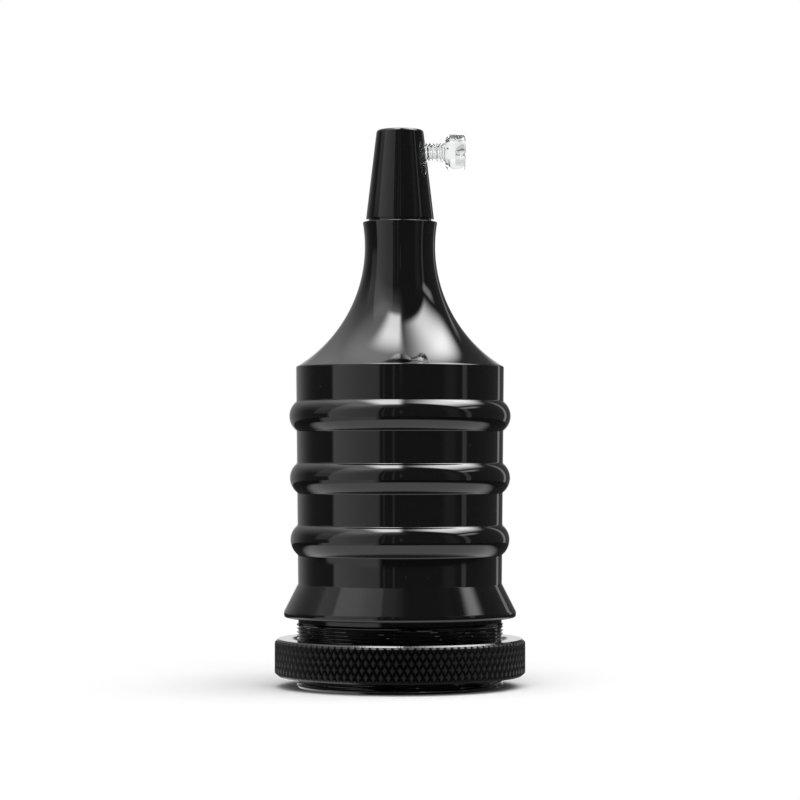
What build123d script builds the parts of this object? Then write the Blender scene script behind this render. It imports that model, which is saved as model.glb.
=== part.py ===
"""Pendant lamp holder: turned shell, knurled shade ring, cord grip and ceramic core for an E27 lamp."""
import os
from math import cos, pi, radians, sin, sqrt

from build123d import *

os.makedirs("parts", exist_ok=True)

# Shell, all heights from the skirt end that the holder stands on
cavity_radius = 18.5
skirt_wall = 1.85
skirt_height = 13.7
skirt_edge = 0.4
undercut_depth = 0.3
undercut_height = 1.3
lip_width = 2.52
lip_height = 1.2
lip_round = 0.55
flare_height = 5.4
body_base_wall = 1.63
body_top_wall = 2.05
body_height = 42.75
shoulder_round = 0.35
bell_rise = 23.8
bell_wall = 2.2
neck_wall = 1.87
neck_rise = 4.85
rim_round = 0.25
bead_count = 3
first_bead_rise = 8.65
bead_pitch = 12.18
bead_width = 5.9
bead_swell = 1.42
bead_foot_round = 0.45
nut_seat_radius = 9.0

# Shade ring
ring_rest_height = 2.2
ring_height = 7.3
ring_wall = 4.25
ring_chamfer = 0.5
ring_countersink = 0.9
knurl_pitch = 1.466
knurl_depth = 0.42
knurl_rows = 5
knurl_runout = 0.1
knurl_backing = 0.5
blank_step = 0.03
running_clearance = 0.1

# Tube and cord grip
tube_radius = 5.0
tube_wall = 1.1
tube_chamfer = 0.4
tube_tail = 0.5
tube_clearance = 0.1
thread_clearance = 0.03
grip_gap = 0.5
grip_height = 17.8
grip_foot_wall = 1.2
grip_base_wall = 1.75
grip_top_wall = 1.22
grip_top_round = 0.7
grip_base_round = 0.2
grip_thread_depth = 7.3
cable_bore_step = 0.5
cable_bore_chamfer = 0.35
screw_hole_drop = 4.5

# Clear clamp screw
clamp_screw_radius = 1.9
clamp_hole_clearance = 0.08
clamp_screw_length = 5.5
clamp_tip_gap = 0.05
clamp_tip_chamfer = 0.3
clamp_head_radius = 3.6
clamp_head_length = 4.0
clamp_head_neck = 0.7
clamp_head_neck_radius = 2.7
clamp_head_round = 0.9
clamp_recess_width = 1.1
clamp_recess_span = 4.4
clamp_recess_depth = 2.0
clamp_recess_taper = 12

# Nuts and washers on the tube
nut_wall = 2.0
nut_height = 3.0
nut_chamfer_width = 0.4
nut_chamfer_height = 0.2
washer_thickness = 0.8
washer_radius = 8.2
washer_tooth_count = 8
washer_tooth_width = 1.6
washer_tooth_depth = 1.3

# Ceramic core
core_recess = 0.6
core_clearance = 0.3
core_cup_depth = 26.8
core_floor = 6.0
core_edge_round = 0.8
core_mouth_chamfer = 0.7

# Screwed lamp contact, knuckle thread for an E27 cap
lamp_pitch = 3.629
lamp_turns = 4.5
lamp_mean_radius = 12.8
lamp_thread_rise = 0.5
lamp_wall = 0.4
lamp_sleeve_gap = 0.6
lamp_sleeve_recess = 4.0
lamp_lead_in = 0.6
lamp_runout_turns = 0.5
lamp_steps_per_turn = 12
lamp_floor_opening = 5.6

# Sprung centre contact
bush_wall = 0.72
bush_flange_width = 1.2
bush_flange = 1.0
bush_lip = 0.8
bush_cap = 1.3
bush_head_width = 0.8
bush_head = 0.8
plunger_radius = 1.6
plunger_collar = 1.5
plunger_proud = 3.6
plunger_nose_round = 0.8
plunger_clearance = 0.08
collar_radius = 2.2
spring_wire_radius = 0.25
spring_radius = 1.75
spring_turns = 6

# Bridge that hangs the core from the tube
bridge_width = 10.0
bridge_sheet = 1.2
bridge_rise = 21.0
bridge_margin = 3.0
bridge_eye_radius = 8.0
bridge_bend = 1.5
bridge_foot_length = 9.0
bridge_screw_inset = 6.0
bridge_screw_radius = 1.5
bridge_screw_length = 5.6
bridge_screw_head_radius = 2.6
bridge_screw_head = 1.9
core_nut_width = 5.5
core_nut_height = 2.2
core_nut_depth = 2.6
nut_pocket_clearance = 0.15

# Terminals, one block each side of the centre contact
strap_thickness = 1.0
strap_width = 7.6
strap_wing = 7.6
strap_wing_edge = 5.6
block_spigot_radius = 1.2
block_width = 7.0
block_depth = 5.2
block_height = 8.5
block_margin = 3.0
block_edge = 0.4
wire_hole_radius = 1.5
wire_hole_height = 3.0
terminal_screw_radius = 1.7
terminal_screw_clearance = 0.07
terminal_screw_stand = 1.5
terminal_tip_gap = 0.1
terminal_head_radius = 2.6
terminal_head = 1.9
slot_width = 0.8
slot_depth = 1.0
screw_head_round = 0.4
rivet_radius = 1.3
rivet_head_radius = 2.0
rivet_head = 0.7
rivet_circle = 9.4
rivet_spread = 35
hole_clearance = 0.1

# Earth screw on the bridge
earth_inset = 6.0
earth_plate_side = 6.4
earth_plate_thickness = 1.0
earth_screw_reach = 0.3
earth_screw_stand = 1.0

# Heights and radii that follow from the sizes above
skirt_radius = cavity_radius + skirt_wall
undercut_radius = skirt_radius - undercut_depth
lip_radius = skirt_radius + lip_width
body_base_radius = cavity_radius + body_base_wall
body_top_radius = cavity_radius + body_top_wall
ring_bore_radius = skirt_radius + running_clearance
ring_radius = ring_bore_radius + ring_wall
knurl_root_radius = ring_radius - knurl_depth
knurl_columns = 2 * round(2 * pi * ring_radius / knurl_pitch)
knurl_bottom = ring_rest_height + ring_chamfer + knurl_runout
knurl_row_height = (ring_height - 2 * ring_chamfer - 2 * knurl_runout) / knurl_rows
thread_top = skirt_height - undercut_height
lip_top = skirt_height + lip_height
flare_top = lip_top + flare_height
shoulder_height = flare_top + body_height
waist_height = shoulder_height + bell_rise
rim_height = waist_height + neck_rise
tube_bore_radius = tube_radius - tube_wall
neck_bore_radius = tube_radius + tube_clearance
waist_radius = neck_bore_radius + neck_wall
bell_run = body_top_radius - waist_radius
bell_radius = (bell_run**2 + bell_rise**2) / (2 * bell_run)
bell_centre = waist_radius + bell_radius
inner_bell_radius = bell_radius + bell_wall
core_floor_height = core_recess + core_cup_depth
core_top = core_floor_height + core_floor
core_radius = cavity_radius - core_clearance
core_bore_radius = lamp_mean_radius + lamp_thread_rise + lamp_wall + lamp_sleeve_gap
nut_across_flats = 2 * (tube_radius + nut_wall)
bridge_half_span = core_radius - bridge_margin
bridge_screw_spacing = 2 * (bridge_half_span - bridge_screw_inset)
earth_offset = bridge_half_span - earth_inset
block_offset = core_radius - block_margin - block_depth / 2
strap_height = core_top + bridge_rise
strap_top = strap_height + bridge_sheet
grip_base_height = rim_height + grip_gap
grip_top_height = grip_base_height + grip_height
cable_bore_radius = tube_bore_radius - cable_bore_step
grip_foot_radius = tube_radius + grip_foot_wall
grip_base_radius = tube_radius + grip_base_wall
grip_top_radius = cable_bore_radius + grip_top_wall
screw_hole_height = grip_top_height - screw_hole_drop
clamp_screw_reach = cable_bore_radius + clamp_tip_gap
tube_top = rim_height + grip_thread_depth
tube_bottom = strap_height - nut_height - tube_tail
terminal_base = core_top + strap_thickness
block_top = terminal_base + block_height
bush_bore_radius = collar_radius + plunger_clearance
bush_radius = bush_bore_radius + bush_wall
bush_bottom = core_floor_height - bush_flange
bush_top = terminal_base + bush_head
bush_ceiling = bush_top - bush_cap
collar_bottom = bush_bottom + bush_lip
collar_top = collar_bottom + plunger_collar
rivet_points = [
    (rivet_circle * sin(radians(side * rivet_spread)), -rivet_circle * cos(radians(rivet_spread)))
    for side in (-1, 1)
]


def bell_radius_at(height, arc_radius):
    """Radius of a bell-shaped arc about the shell's outer centre of curvature."""
    return bell_centre - sqrt(arc_radius**2 - (waist_height - height) ** 2)


def bell_height_at(radius, arc_radius):
    """Height below the waist where the same arc has this radius."""
    return waist_height - sqrt(arc_radius**2 - (bell_centre - radius) ** 2)


def body_radius(height):
    """Slightly drafted body between the flare and the shoulder."""
    share = (height - flare_top) / (shoulder_height - flare_top)
    return body_base_radius + share * (body_top_radius - body_base_radius)


def corner_at(section, x, y):
    """The corner of a sketch that lies at this place."""
    return section.vertices().sort_by_distance((x, y))[0]


nut_seat_height = bell_height_at(nut_seat_radius, inner_bell_radius)
cavity_top = bell_height_at(cavity_radius, inner_bell_radius)
bead_heights = [flare_top + first_bead_rise + index * bead_pitch for index in range(bead_count)]
bead_feet = [height + side * bead_width / 2 for height in bead_heights for side in (-1, 1)]


# Shell: one turned piece with beads, flare, lip and threaded skirt
with BuildPart() as shell:
    with BuildSketch(Plane.XZ) as shell_section:
        with BuildLine() as shell_outline:
            Polyline(
                (cavity_radius + skirt_edge, 0),
                (skirt_radius - skirt_edge, 0),
                (skirt_radius, skirt_edge),
                (skirt_radius, thread_top),
                (undercut_radius, thread_top + skirt_edge),
                (undercut_radius, skirt_height),
                (lip_radius, skirt_height),
                (lip_radius, lip_top),
                (body_base_radius, flare_top),
            )
            last = (body_base_radius, flare_top)
            for height in bead_heights:
                foot = (body_radius(height - bead_width / 2), height - bead_width / 2)
                crest = (body_radius(height) + bead_swell, height)
                head = (body_radius(height + bead_width / 2), height + bead_width / 2)
                Line(last, foot)
                ThreePointArc(foot, crest, head)
                last = head
            Line(last, (body_top_radius, shoulder_height))
            ThreePointArc(
                (body_top_radius, shoulder_height),
                (waist_radius, waist_height),
                (bell_radius_at(rim_height, bell_radius), rim_height),
            )
            Polyline(
                (bell_radius_at(rim_height, bell_radius), rim_height),
                (neck_bore_radius, rim_height),
                (neck_bore_radius, nut_seat_height),
                (nut_seat_radius, nut_seat_height),
            )
            middle = (nut_seat_height + cavity_top) / 2
            ThreePointArc(
                (nut_seat_radius, nut_seat_height),
                (bell_radius_at(middle, inner_bell_radius), middle),
                (cavity_radius, cavity_top),
            )
            Polyline(
                (cavity_radius, cavity_top),
                (cavity_radius, skirt_edge),
                (cavity_radius + skirt_edge, 0),
            )
        make_face()
        for foot_height in bead_feet:
            fillet(corner_at(shell_section, body_radius(foot_height), foot_height), bead_foot_round)
        fillet(corner_at(shell_section, lip_radius, skirt_height), lip_round)
        fillet(corner_at(shell_section, body_top_radius, shoulder_height), shoulder_round)
        fillet(corner_at(shell_section, bell_radius_at(rim_height, bell_radius), rim_height), rim_round)
    revolve(axis=Axis.Z)
shell.part.label = "shell"
export_step(shell.part, "parts/shell.step")


def knurl_point(column, row):
    """Corner of the diamond net: crests and groove crossings alternate round and up the band."""
    angle = column * 2 * pi / knurl_columns
    radius = knurl_root_radius if (column + row) % 2 == 0 else ring_radius
    return Vector(radius * cos(angle), radius * sin(angle), knurl_bottom + row * knurl_row_height)


def band_point(column, radius, height):
    """Point on a plain rim of the knurled band, in line with the net's columns."""
    angle = column * 2 * pi / knurl_columns
    return Vector(radius * cos(angle), radius * sin(angle), height)


def triangle(*corners):
    """Flat three-sided face."""
    return Face(Wire.make_polygon(corners, close=True))


def knurled_band():
    """Closed sleeve whose outside is a net of diamond pyramids between crossing grooves."""
    top = knurl_bottom + knurl_rows * knurl_row_height
    low_rim = knurl_bottom - knurl_runout
    high_rim = top + knurl_runout
    inner_radius = knurl_root_radius - knurl_backing
    faces = []
    for column in range(knurl_columns):
        for row in range(knurl_rows):
            a, b = knurl_point(column, row), knurl_point(column + 1, row)
            c, d = knurl_point(column + 1, row + 1), knurl_point(column, row + 1)
            if (column + row) % 2 == 0:
                faces += [triangle(a, b, c), triangle(a, c, d)]
            else:
                faces += [triangle(a, b, d), triangle(b, c, d)]
        for row, rim in ((0, low_rim), (knurl_rows, high_rim)):
            a, b = knurl_point(column, row), knurl_point(column + 1, row)
            c, d = (band_point(step, knurl_root_radius, rim) for step in (column + 1, column))
            faces += [triangle(a, b, c), triangle(a, c, d)]
    for rim in (low_rim, high_rim):
        outer = Wire.make_polygon(
            [band_point(column, knurl_root_radius, rim) for column in range(knurl_columns)], close=True
        )
        faces.append(Face(outer, [Wire.make_circle(inner_radius, Plane.XY.offset(rim))]))
    inner_wall = Face.extrude(
        Edge.make_circle(inner_radius, Plane.XY.offset(low_rim)), (0, 0, high_rim - low_rim)
    )
    return Solid(Shell(faces + [inner_wall]))


# Shade ring: turned blank with a countersunk bore, diamond knurl rolled on its outside
with BuildPart() as shade_ring:
    with BuildSketch(Plane.XZ) as ring_section:
        with BuildLine():
            ring_top = ring_rest_height + ring_height
            blank_radius = knurl_root_radius - blank_step
            Polyline(
                (ring_bore_radius, ring_rest_height),
                (blank_radius - ring_chamfer, ring_rest_height),
                (blank_radius, ring_rest_height + ring_chamfer),
                (blank_radius, ring_top - ring_chamfer),
                (blank_radius - ring_chamfer, ring_top),
                (ring_bore_radius + ring_countersink, ring_top),
                (ring_bore_radius, ring_top - ring_countersink),
                close=True,
            )
        make_face()
    revolve(axis=Axis.Z)
    add(knurled_band())
shade_ring.part.label = "shade_ring"
export_step(shade_ring.part, "parts/shade_ring.step")


# Threaded tube: passes through the neck and carries grip, shell and bridge
with BuildPart() as threaded_tube:
    with BuildSketch(Plane.XY.offset(tube_bottom)):
        Circle(tube_radius)
        Circle(tube_bore_radius, mode=Mode.SUBTRACT)
    extrude(amount=tube_top - tube_bottom)
    outer_rims = threaded_tube.edges().filter_by(GeomType.CIRCLE).sort_by(SortBy.RADIUS)[-2:]
    chamfer(outer_rims, tube_chamfer)
threaded_tube.part.label = "threaded_tube"
export_step(threaded_tube.part, "parts/threaded_tube.step")


# Cord grip: tapered collet body on the neck's rim, with a tapped side hole
with BuildPart() as cord_grip:
    with BuildSketch(Plane.XZ) as grip_section:
        with BuildLine():
            Polyline(
                (tube_radius + thread_clearance, rim_height),
                (grip_foot_radius, rim_height),
                (grip_foot_radius, grip_base_height),
                (grip_base_radius, grip_base_height),
                (grip_top_radius, grip_top_height),
                (cable_bore_radius + cable_bore_chamfer, grip_top_height),
                (cable_bore_radius, grip_top_height - cable_bore_chamfer),
                (cable_bore_radius, tube_top),
                (tube_radius + thread_clearance, tube_top),
                close=True,
            )
        make_face()
        fillet(corner_at(grip_section, grip_top_radius, grip_top_height), grip_top_round)
        fillet(corner_at(grip_section, grip_base_radius, grip_base_height), grip_base_round)
    revolve(axis=Axis.Z)
    hole_radius = clamp_screw_radius + clamp_hole_clearance
    with BuildSketch(Plane.YZ.offset(cable_bore_radius / 2)):
        with Locations((0, screw_hole_height)):
            Circle(hole_radius)
    extrude(amount=grip_base_radius, mode=Mode.SUBTRACT)
cord_grip.part.label = "cord_grip"
export_step(cord_grip.part, "parts/cord_grip.step")


def cross_recess(plane):
    """Tapered cross that is cut into the clamp screw's head from the plane's face."""
    with BuildPart(mode=Mode.PRIVATE) as recess:
        with BuildSketch(plane):
            Rectangle(clamp_recess_span, clamp_recess_width)
            Rectangle(clamp_recess_width, clamp_recess_span)
        extrude(amount=-clamp_recess_depth, taper=clamp_recess_taper)
    return recess.part


# Clamp screw: clear plastic pan head backed part of the way out of the grip
with BuildPart() as clamp_screw:
    head_start = clamp_screw_reach + clamp_screw_length
    head_end = head_start + clamp_head_length
    screw_plane = Plane(origin=(0, 0, screw_hole_height), x_dir=(1, 0, 0), z_dir=(0, -1, 0))
    with BuildSketch(screw_plane) as clamp_section:
        with BuildLine():
            Polyline(
                (clamp_screw_reach, 0),
                (clamp_screw_reach, clamp_screw_radius - clamp_tip_chamfer),
                (clamp_screw_reach + clamp_tip_chamfer, clamp_screw_radius),
                (head_start, clamp_screw_radius),
                (head_start, clamp_head_neck_radius),
                (head_start + clamp_head_neck, clamp_head_radius),
                (head_end, clamp_head_radius),
                (head_end, 0),
                close=True,
            )
        make_face()
        fillet(corner_at(clamp_section, head_end, clamp_head_radius), clamp_head_round)
    revolve(axis=Axis((0, 0, screw_hole_height), (1, 0, 0)))
    face_plane = Plane(origin=(head_end, 0, screw_hole_height), x_dir=(0, 1, 0), z_dir=(1, 0, 0))
    add(cross_recess(face_plane), mode=Mode.SUBTRACT)
clamp_screw.part.label = "clamp_screw"
export_step(clamp_screw.part, "parts/clamp_screw.step")


def hex_nut(base):
    """Thin chamfered hexagon nut for the tube, standing on the given height."""
    with BuildPart(mode=Mode.PRIVATE) as nut:
        with BuildSketch(Plane.XY.offset(base)):
            RegularPolygon(nut_across_flats / 2, 6, major_radius=False, rotation=30)
            Circle(tube_radius + thread_clearance, mode=Mode.SUBTRACT)
        extrude(amount=nut_height)
        corner_radius = nut_across_flats / sqrt(3)
        with BuildSketch(Plane.XZ, mode=Mode.PRIVATE) as envelope:
            with BuildLine():
                Polyline(
                    (0, base),
                    (corner_radius - nut_chamfer_width, base),
                    (corner_radius, base + nut_chamfer_height),
                    (corner_radius, base + nut_height - nut_chamfer_height),
                    (corner_radius - nut_chamfer_width, base + nut_height),
                    (0, base + nut_height),
                    close=True,
                )
            make_face()
        revolve(envelope.sketch, axis=Axis.Z, mode=Mode.INTERSECT)
    return nut.part


# Lock washer with inner teeth, pressed against the seat inside the neck
with BuildPart() as lock_washer:
    washer_height = nut_seat_height - washer_thickness
    tooth_tip_radius = tube_radius + hole_clearance
    tooth_root_radius = tooth_tip_radius + washer_tooth_depth
    tooth_end_radius = (tooth_root_radius + washer_radius) / 2
    with BuildSketch(Plane.XY.offset(washer_height)):
        Circle(washer_radius)
        Circle(tooth_root_radius, mode=Mode.SUBTRACT)
        with PolarLocations((tube_radius + tooth_end_radius) / 2, washer_tooth_count):
            Rectangle(tooth_end_radius - tube_radius, washer_tooth_width)
        Circle(tooth_tip_radius, mode=Mode.SUBTRACT)
    extrude(amount=washer_thickness)
lock_washer.part.label = "lock_washer"
export_step(lock_washer.part, "parts/lock_washer.step")

# Nut that clamps the shell to the tube
with BuildPart() as shell_nut:
    add(hex_nut(washer_height - nut_height))
shell_nut.part.label = "shell_nut"
export_step(shell_nut.part, "parts/shell_nut.step")

# Nut under the bridge's strap
with BuildPart() as bridge_nut:
    add(hex_nut(strap_height - nut_height))
bridge_nut.part.label = "bridge_nut"
export_step(bridge_nut.part, "parts/bridge_nut.step")


# Bridge: one folded steel strip with inturned feet on the core
with BuildPart() as bridge:
    with BuildSketch(Plane.XZ) as bridge_section:
        with BuildLine():
            FilletPolyline(
                (-bridge_half_span + bridge_foot_length, core_top),
                (-bridge_half_span, core_top),
                (-bridge_half_span, strap_top),
                (bridge_half_span, strap_top),
                (bridge_half_span, core_top),
                (bridge_half_span - bridge_foot_length, core_top),
                radius=bridge_bend + bridge_sheet,
            )
            offset(amount=-bridge_sheet, side=Side.RIGHT, closed=True)
        make_face()
    extrude(amount=bridge_width / 2, both=True)
    with BuildSketch(Plane.XY.offset(strap_height)):
        Circle(bridge_eye_radius)
    extrude(amount=bridge_sheet)
    with BuildSketch(Plane.XY.offset(strap_height)):
        Circle(tube_radius + thread_clearance)
        with Locations((earth_offset, 0)):
            Circle(terminal_screw_radius + terminal_screw_clearance)
    extrude(amount=bridge_sheet, mode=Mode.SUBTRACT)
    with BuildSketch(Plane.XY.offset(core_top)):
        with GridLocations(bridge_screw_spacing, 0, 2, 1):
            Circle(bridge_screw_radius + hole_clearance)
    extrude(amount=bridge_sheet, mode=Mode.SUBTRACT)
bridge.part.label = "bridge"
export_step(bridge.part, "parts/bridge.step")


# Ceramic core: glazed cup with a thick floor that carries the contacts
with BuildPart() as ceramic_core:
    with BuildSketch(Plane.XZ) as core_section:
        with BuildLine():
            Polyline(
                (core_bore_radius + core_mouth_chamfer, core_recess),
                (core_radius, core_recess),
                (core_radius, core_top),
                (0, core_top),
                (0, core_floor_height),
                (core_bore_radius, core_floor_height),
                (core_bore_radius, core_recess + core_mouth_chamfer),
                close=True,
            )
        make_face()
        for height in (core_recess, core_top):
            fillet(corner_at(core_section, core_radius, height), core_edge_round)
    revolve(axis=Axis.Z)
    with BuildSketch(Plane.XY.offset(core_floor_height)):
        Circle(bush_radius + hole_clearance)
        with Locations(*rivet_points):
            Circle(rivet_radius + hole_clearance)
    extrude(amount=core_floor, mode=Mode.SUBTRACT)
    slot_bottom = core_top - core_nut_depth - core_nut_height - nut_pocket_clearance
    with BuildSketch(Plane.XY.offset(slot_bottom)):
        with GridLocations(bridge_screw_spacing, 0, 2, 1):
            Circle(bridge_screw_radius + hole_clearance)
    extrude(amount=core_top - slot_bottom, mode=Mode.SUBTRACT)
    slot_half_width = core_nut_width / 2 + nut_pocket_clearance
    slot_inner = bridge_screw_spacing / 2 - slot_half_width
    with BuildSketch(Plane.XY.offset(slot_bottom)):
        with Locations(((slot_inner + core_radius) / 2, 0), (-(slot_inner + core_radius) / 2, 0)):
            Rectangle(core_radius - slot_inner, 2 * slot_half_width)
    extrude(amount=core_nut_height + 2 * nut_pocket_clearance, mode=Mode.SUBTRACT)
ceramic_core.part.label = "ceramic_core"
export_step(ceramic_core.part, "parts/ceramic_core.step")

# Square nuts held in the core's side slots
with BuildPart() as core_nuts:
    with BuildSketch(Plane.XY.offset(slot_bottom + nut_pocket_clearance)):
        with GridLocations(bridge_screw_spacing, 0, 2, 1):
            Rectangle(core_nut_width, core_nut_width)
            Circle(bridge_screw_radius + thread_clearance, mode=Mode.SUBTRACT)
    extrude(amount=core_nut_height)
core_nuts.part.label = "core_nuts"
export_step(core_nuts.part, "parts/core_nuts.step")


def slotted_screw(tip, shank_radius, head_base, head_radius, head_height):
    """Slotted cheese-head screw along Z from its tip up to the slotted head."""
    with BuildPart(mode=Mode.PRIVATE) as screw:
        with BuildSketch(Plane.XY.offset(tip)):
            Circle(shank_radius)
        extrude(amount=head_base - tip)
        with BuildSketch(Plane.XY.offset(head_base)):
            Circle(head_radius)
        extrude(amount=head_height)
        fillet(screw.edges().group_by(Axis.Z)[-1], screw_head_round)
        with BuildSketch(Plane.XY.offset(head_base + head_height)):
            Rectangle(2 * (head_radius + slot_width), slot_width)
        extrude(amount=-slot_depth, mode=Mode.SUBTRACT)
    return screw.part


# Two screws that hold the bridge's feet to the core
with BuildPart() as bridge_screws:
    foot_top = core_top + bridge_sheet
    screw_form = slotted_screw(
        foot_top - bridge_screw_length,
        bridge_screw_radius,
        foot_top,
        bridge_screw_head_radius,
        bridge_screw_head,
    )
    with GridLocations(bridge_screw_spacing, 0, 2, 1):
        add(screw_form)
bridge_screws.part.label = "bridge_screws"
export_step(bridge_screws.part, "parts/bridge_screws.step")


def thread_centre(step):
    """Centre of the sleeve's round section at a step of the knuckle thread."""
    last_step = round(lamp_turns * lamp_steps_per_turn)
    runout_steps = lamp_runout_turns * lamp_steps_per_turn
    ramp = min(1, step / runout_steps, (last_step - step) / runout_steps)
    angle = 2 * pi * step / lamp_steps_per_turn
    return (lamp_thread_rise * ramp * cos(angle), lamp_thread_rise * ramp * sin(angle))


def threaded_core(radius, bottom, thread_start, top):
    """Solid plug whose round section wanders about the axis, which rolls a knuckle thread on it."""
    steps = round(lamp_turns * lamp_steps_per_turn)
    rise = lamp_pitch / lamp_steps_per_turn
    with BuildPart(mode=Mode.PRIVATE) as plug:
        for step in range(steps + 1):
            with BuildSketch(Plane.XY.offset(thread_start + step * rise)):
                with Locations(thread_centre(step)):
                    Circle(radius)
        loft(ruled=True)
        with BuildSketch(Plane.XY.offset(bottom)):
            Circle(radius)
        extrude(amount=thread_start - bottom)
        with BuildSketch(Plane.XY.offset(thread_start + steps * rise)):
            Circle(radius)
        extrude(amount=top - thread_start - steps * rise)
    return plug.part


# Screw shell: thin rolled sleeve with an E27 knuckle thread and a flat floor
with BuildPart() as screw_shell:
    sleeve_bottom = core_recess + lamp_sleeve_recess
    thread_start = sleeve_bottom + lamp_lead_in
    add(threaded_core(lamp_mean_radius + lamp_wall, sleeve_bottom, thread_start, core_floor_height))
    add(
        threaded_core(lamp_mean_radius, sleeve_bottom, thread_start, core_floor_height - lamp_wall),
        mode=Mode.SUBTRACT,
    )
    with BuildSketch(Plane.XY.offset(core_floor_height - lamp_wall)):
        Circle(lamp_floor_opening)
        with Locations(*rivet_points):
            Circle(rivet_radius + hole_clearance)
    extrude(amount=lamp_wall, mode=Mode.SUBTRACT)
screw_shell.part.label = "screw_shell"
export_step(screw_shell.part, "parts/screw_shell.step")

# Contact bush: brass barrel peened over the live strap, closed at its top
with BuildPart() as contact_bush:
    with BuildSketch(Plane.XZ):
        with BuildLine():
            Polyline(
                (plunger_radius + plunger_clearance, bush_bottom),
                (bush_radius + bush_flange_width, bush_bottom),
                (bush_radius + bush_flange_width, core_floor_height),
                (bush_radius, core_floor_height),
                (bush_radius, terminal_base),
                (bush_radius + bush_head_width, terminal_base),
                (bush_radius + bush_head_width, bush_top),
                (0, bush_top),
                (0, bush_ceiling),
                (bush_bore_radius, bush_ceiling),
                (bush_bore_radius, collar_bottom),
                (plunger_radius + plunger_clearance, collar_bottom),
                close=True,
            )
        make_face()
    revolve(axis=Axis.Z)
contact_bush.part.label = "contact_bush"
export_step(contact_bush.part, "parts/contact_bush.step")

# Contact plunger: rounded brass nose that the lamp's cap pushes up
with BuildPart() as contact_plunger:
    with BuildSketch(Plane.XY.offset(bush_bottom - plunger_proud)):
        Circle(plunger_radius)
    extrude(amount=collar_bottom - bush_bottom + plunger_proud)
    with BuildSketch(Plane.XY.offset(collar_bottom)):
        Circle(collar_radius)
    extrude(amount=plunger_collar)
    fillet(contact_plunger.edges().group_by(Axis.Z)[0], plunger_nose_round)
contact_plunger.part.label = "contact_plunger"
export_step(contact_plunger.part, "parts/contact_plunger.step")

# Contact spring: coil between the plunger's collar and the bush's ceiling
with BuildPart() as contact_spring:
    coil_height = bush_ceiling - collar_top - 2 * spring_wire_radius
    coil_start = collar_top + spring_wire_radius
    with BuildLine() as coil:
        Helix(coil_height / spring_turns, coil_height, spring_radius, center=(0, 0, coil_start))
    with BuildSketch(Plane(origin=coil.line @ 0, z_dir=coil.line % 0)):
        Circle(spring_wire_radius)
    sweep(path=coil.line, is_frenet=True)
contact_spring.part.label = "contact_spring"
export_step(contact_spring.part, "parts/contact_spring.step")

# Live strap: from the bush out to the live block
with BuildPart() as live_strap:
    with BuildSketch(Plane.XY.offset(core_top)):
        Circle(strap_width / 2)
        with Locations((0, (block_offset + block_depth / 2) / 2)):
            Rectangle(strap_width, block_offset + block_depth / 2)
        Circle(bush_radius + thread_clearance, mode=Mode.SUBTRACT)
        with Locations((0, block_offset)):
            Circle(block_spigot_radius + thread_clearance, mode=Mode.SUBTRACT)
    extrude(amount=strap_thickness)
live_strap.part.label = "live_strap"
export_step(live_strap.part, "parts/live_strap.step")

# Neutral strap: joins the two rivets to the neutral block
with BuildPart() as neutral_strap:
    with BuildSketch(Plane.XY.offset(core_top)):
        wing_depth = 2 * (rivet_circle * cos(radians(rivet_spread)) - strap_wing_edge)
        with Locations((0, -strap_wing_edge - wing_depth / 2)):
            Rectangle(2 * strap_wing, wing_depth)
        tongue_length = block_offset + block_depth / 2 - strap_wing_edge
        with Locations((0, -strap_wing_edge - tongue_length / 2)):
            Rectangle(strap_width, tongue_length)
        with Locations(*rivet_points):
            Circle(rivet_radius + thread_clearance, mode=Mode.SUBTRACT)
        with Locations((0, -block_offset)):
            Circle(block_spigot_radius + thread_clearance, mode=Mode.SUBTRACT)
    extrude(amount=strap_thickness)
neutral_strap.part.label = "neutral_strap"
export_step(neutral_strap.part, "parts/neutral_strap.step")

# Two rivets that hold the screw shell's floor and carry its current to the neutral strap
with BuildPart() as shell_rivets:
    rivet_bottom = core_floor_height - lamp_wall - rivet_head
    rivet_top = terminal_base + rivet_head
    with BuildSketch(Plane.XY.offset(rivet_bottom)):
        with Locations(*rivet_points):
            Circle(rivet_radius)
    extrude(amount=rivet_top - rivet_bottom)
    for head_base in (rivet_bottom, terminal_base):
        with BuildSketch(Plane.XY.offset(head_base)):
            with Locations(*rivet_points):
                Circle(rivet_head_radius)
        extrude(amount=rivet_head)
shell_rivets.part.label = "shell_rivets"
export_step(shell_rivets.part, "parts/shell_rivets.step")


def terminal_block(offset_y):
    """Brass block with a cross hole for the wire, a tapped hole from above and a spigot below."""
    with BuildPart(mode=Mode.PRIVATE) as block:
        with BuildSketch(Plane.XY.offset(terminal_base)):
            with Locations((0, offset_y)):
                Rectangle(block_width, block_depth)
        extrude(amount=block_height)
        fillet(block.edges().filter_by(Axis.Z), block_edge)
        with BuildSketch(Plane.XY.offset(core_top)):
            with Locations((0, offset_y)):
                Circle(block_spigot_radius)
        extrude(amount=strap_thickness)
        with BuildSketch(Plane.XY.offset(block_top)):
            with Locations((0, offset_y)):
                Circle(terminal_screw_radius + terminal_screw_clearance)
        extrude(amount=wire_hole_height - block_height, mode=Mode.SUBTRACT)
        with BuildSketch(Plane.YZ):
            with Locations((offset_y, terminal_base + wire_hole_height)):
                Circle(wire_hole_radius)
        extrude(amount=block_width, both=True, mode=Mode.SUBTRACT)
    return block.part


# Terminal blocks and their screws, live on +Y and neutral on -Y
screw_tip = terminal_base + wire_hole_height + wire_hole_radius + terminal_tip_gap
screw_form = slotted_screw(
    screw_tip,
    terminal_screw_radius,
    block_top + terminal_screw_stand,
    terminal_head_radius,
    terminal_head,
)

with BuildPart() as live_terminal:
    add(terminal_block(block_offset))
live_terminal.part.label = "live_terminal"
export_step(live_terminal.part, "parts/live_terminal.step")

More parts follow.
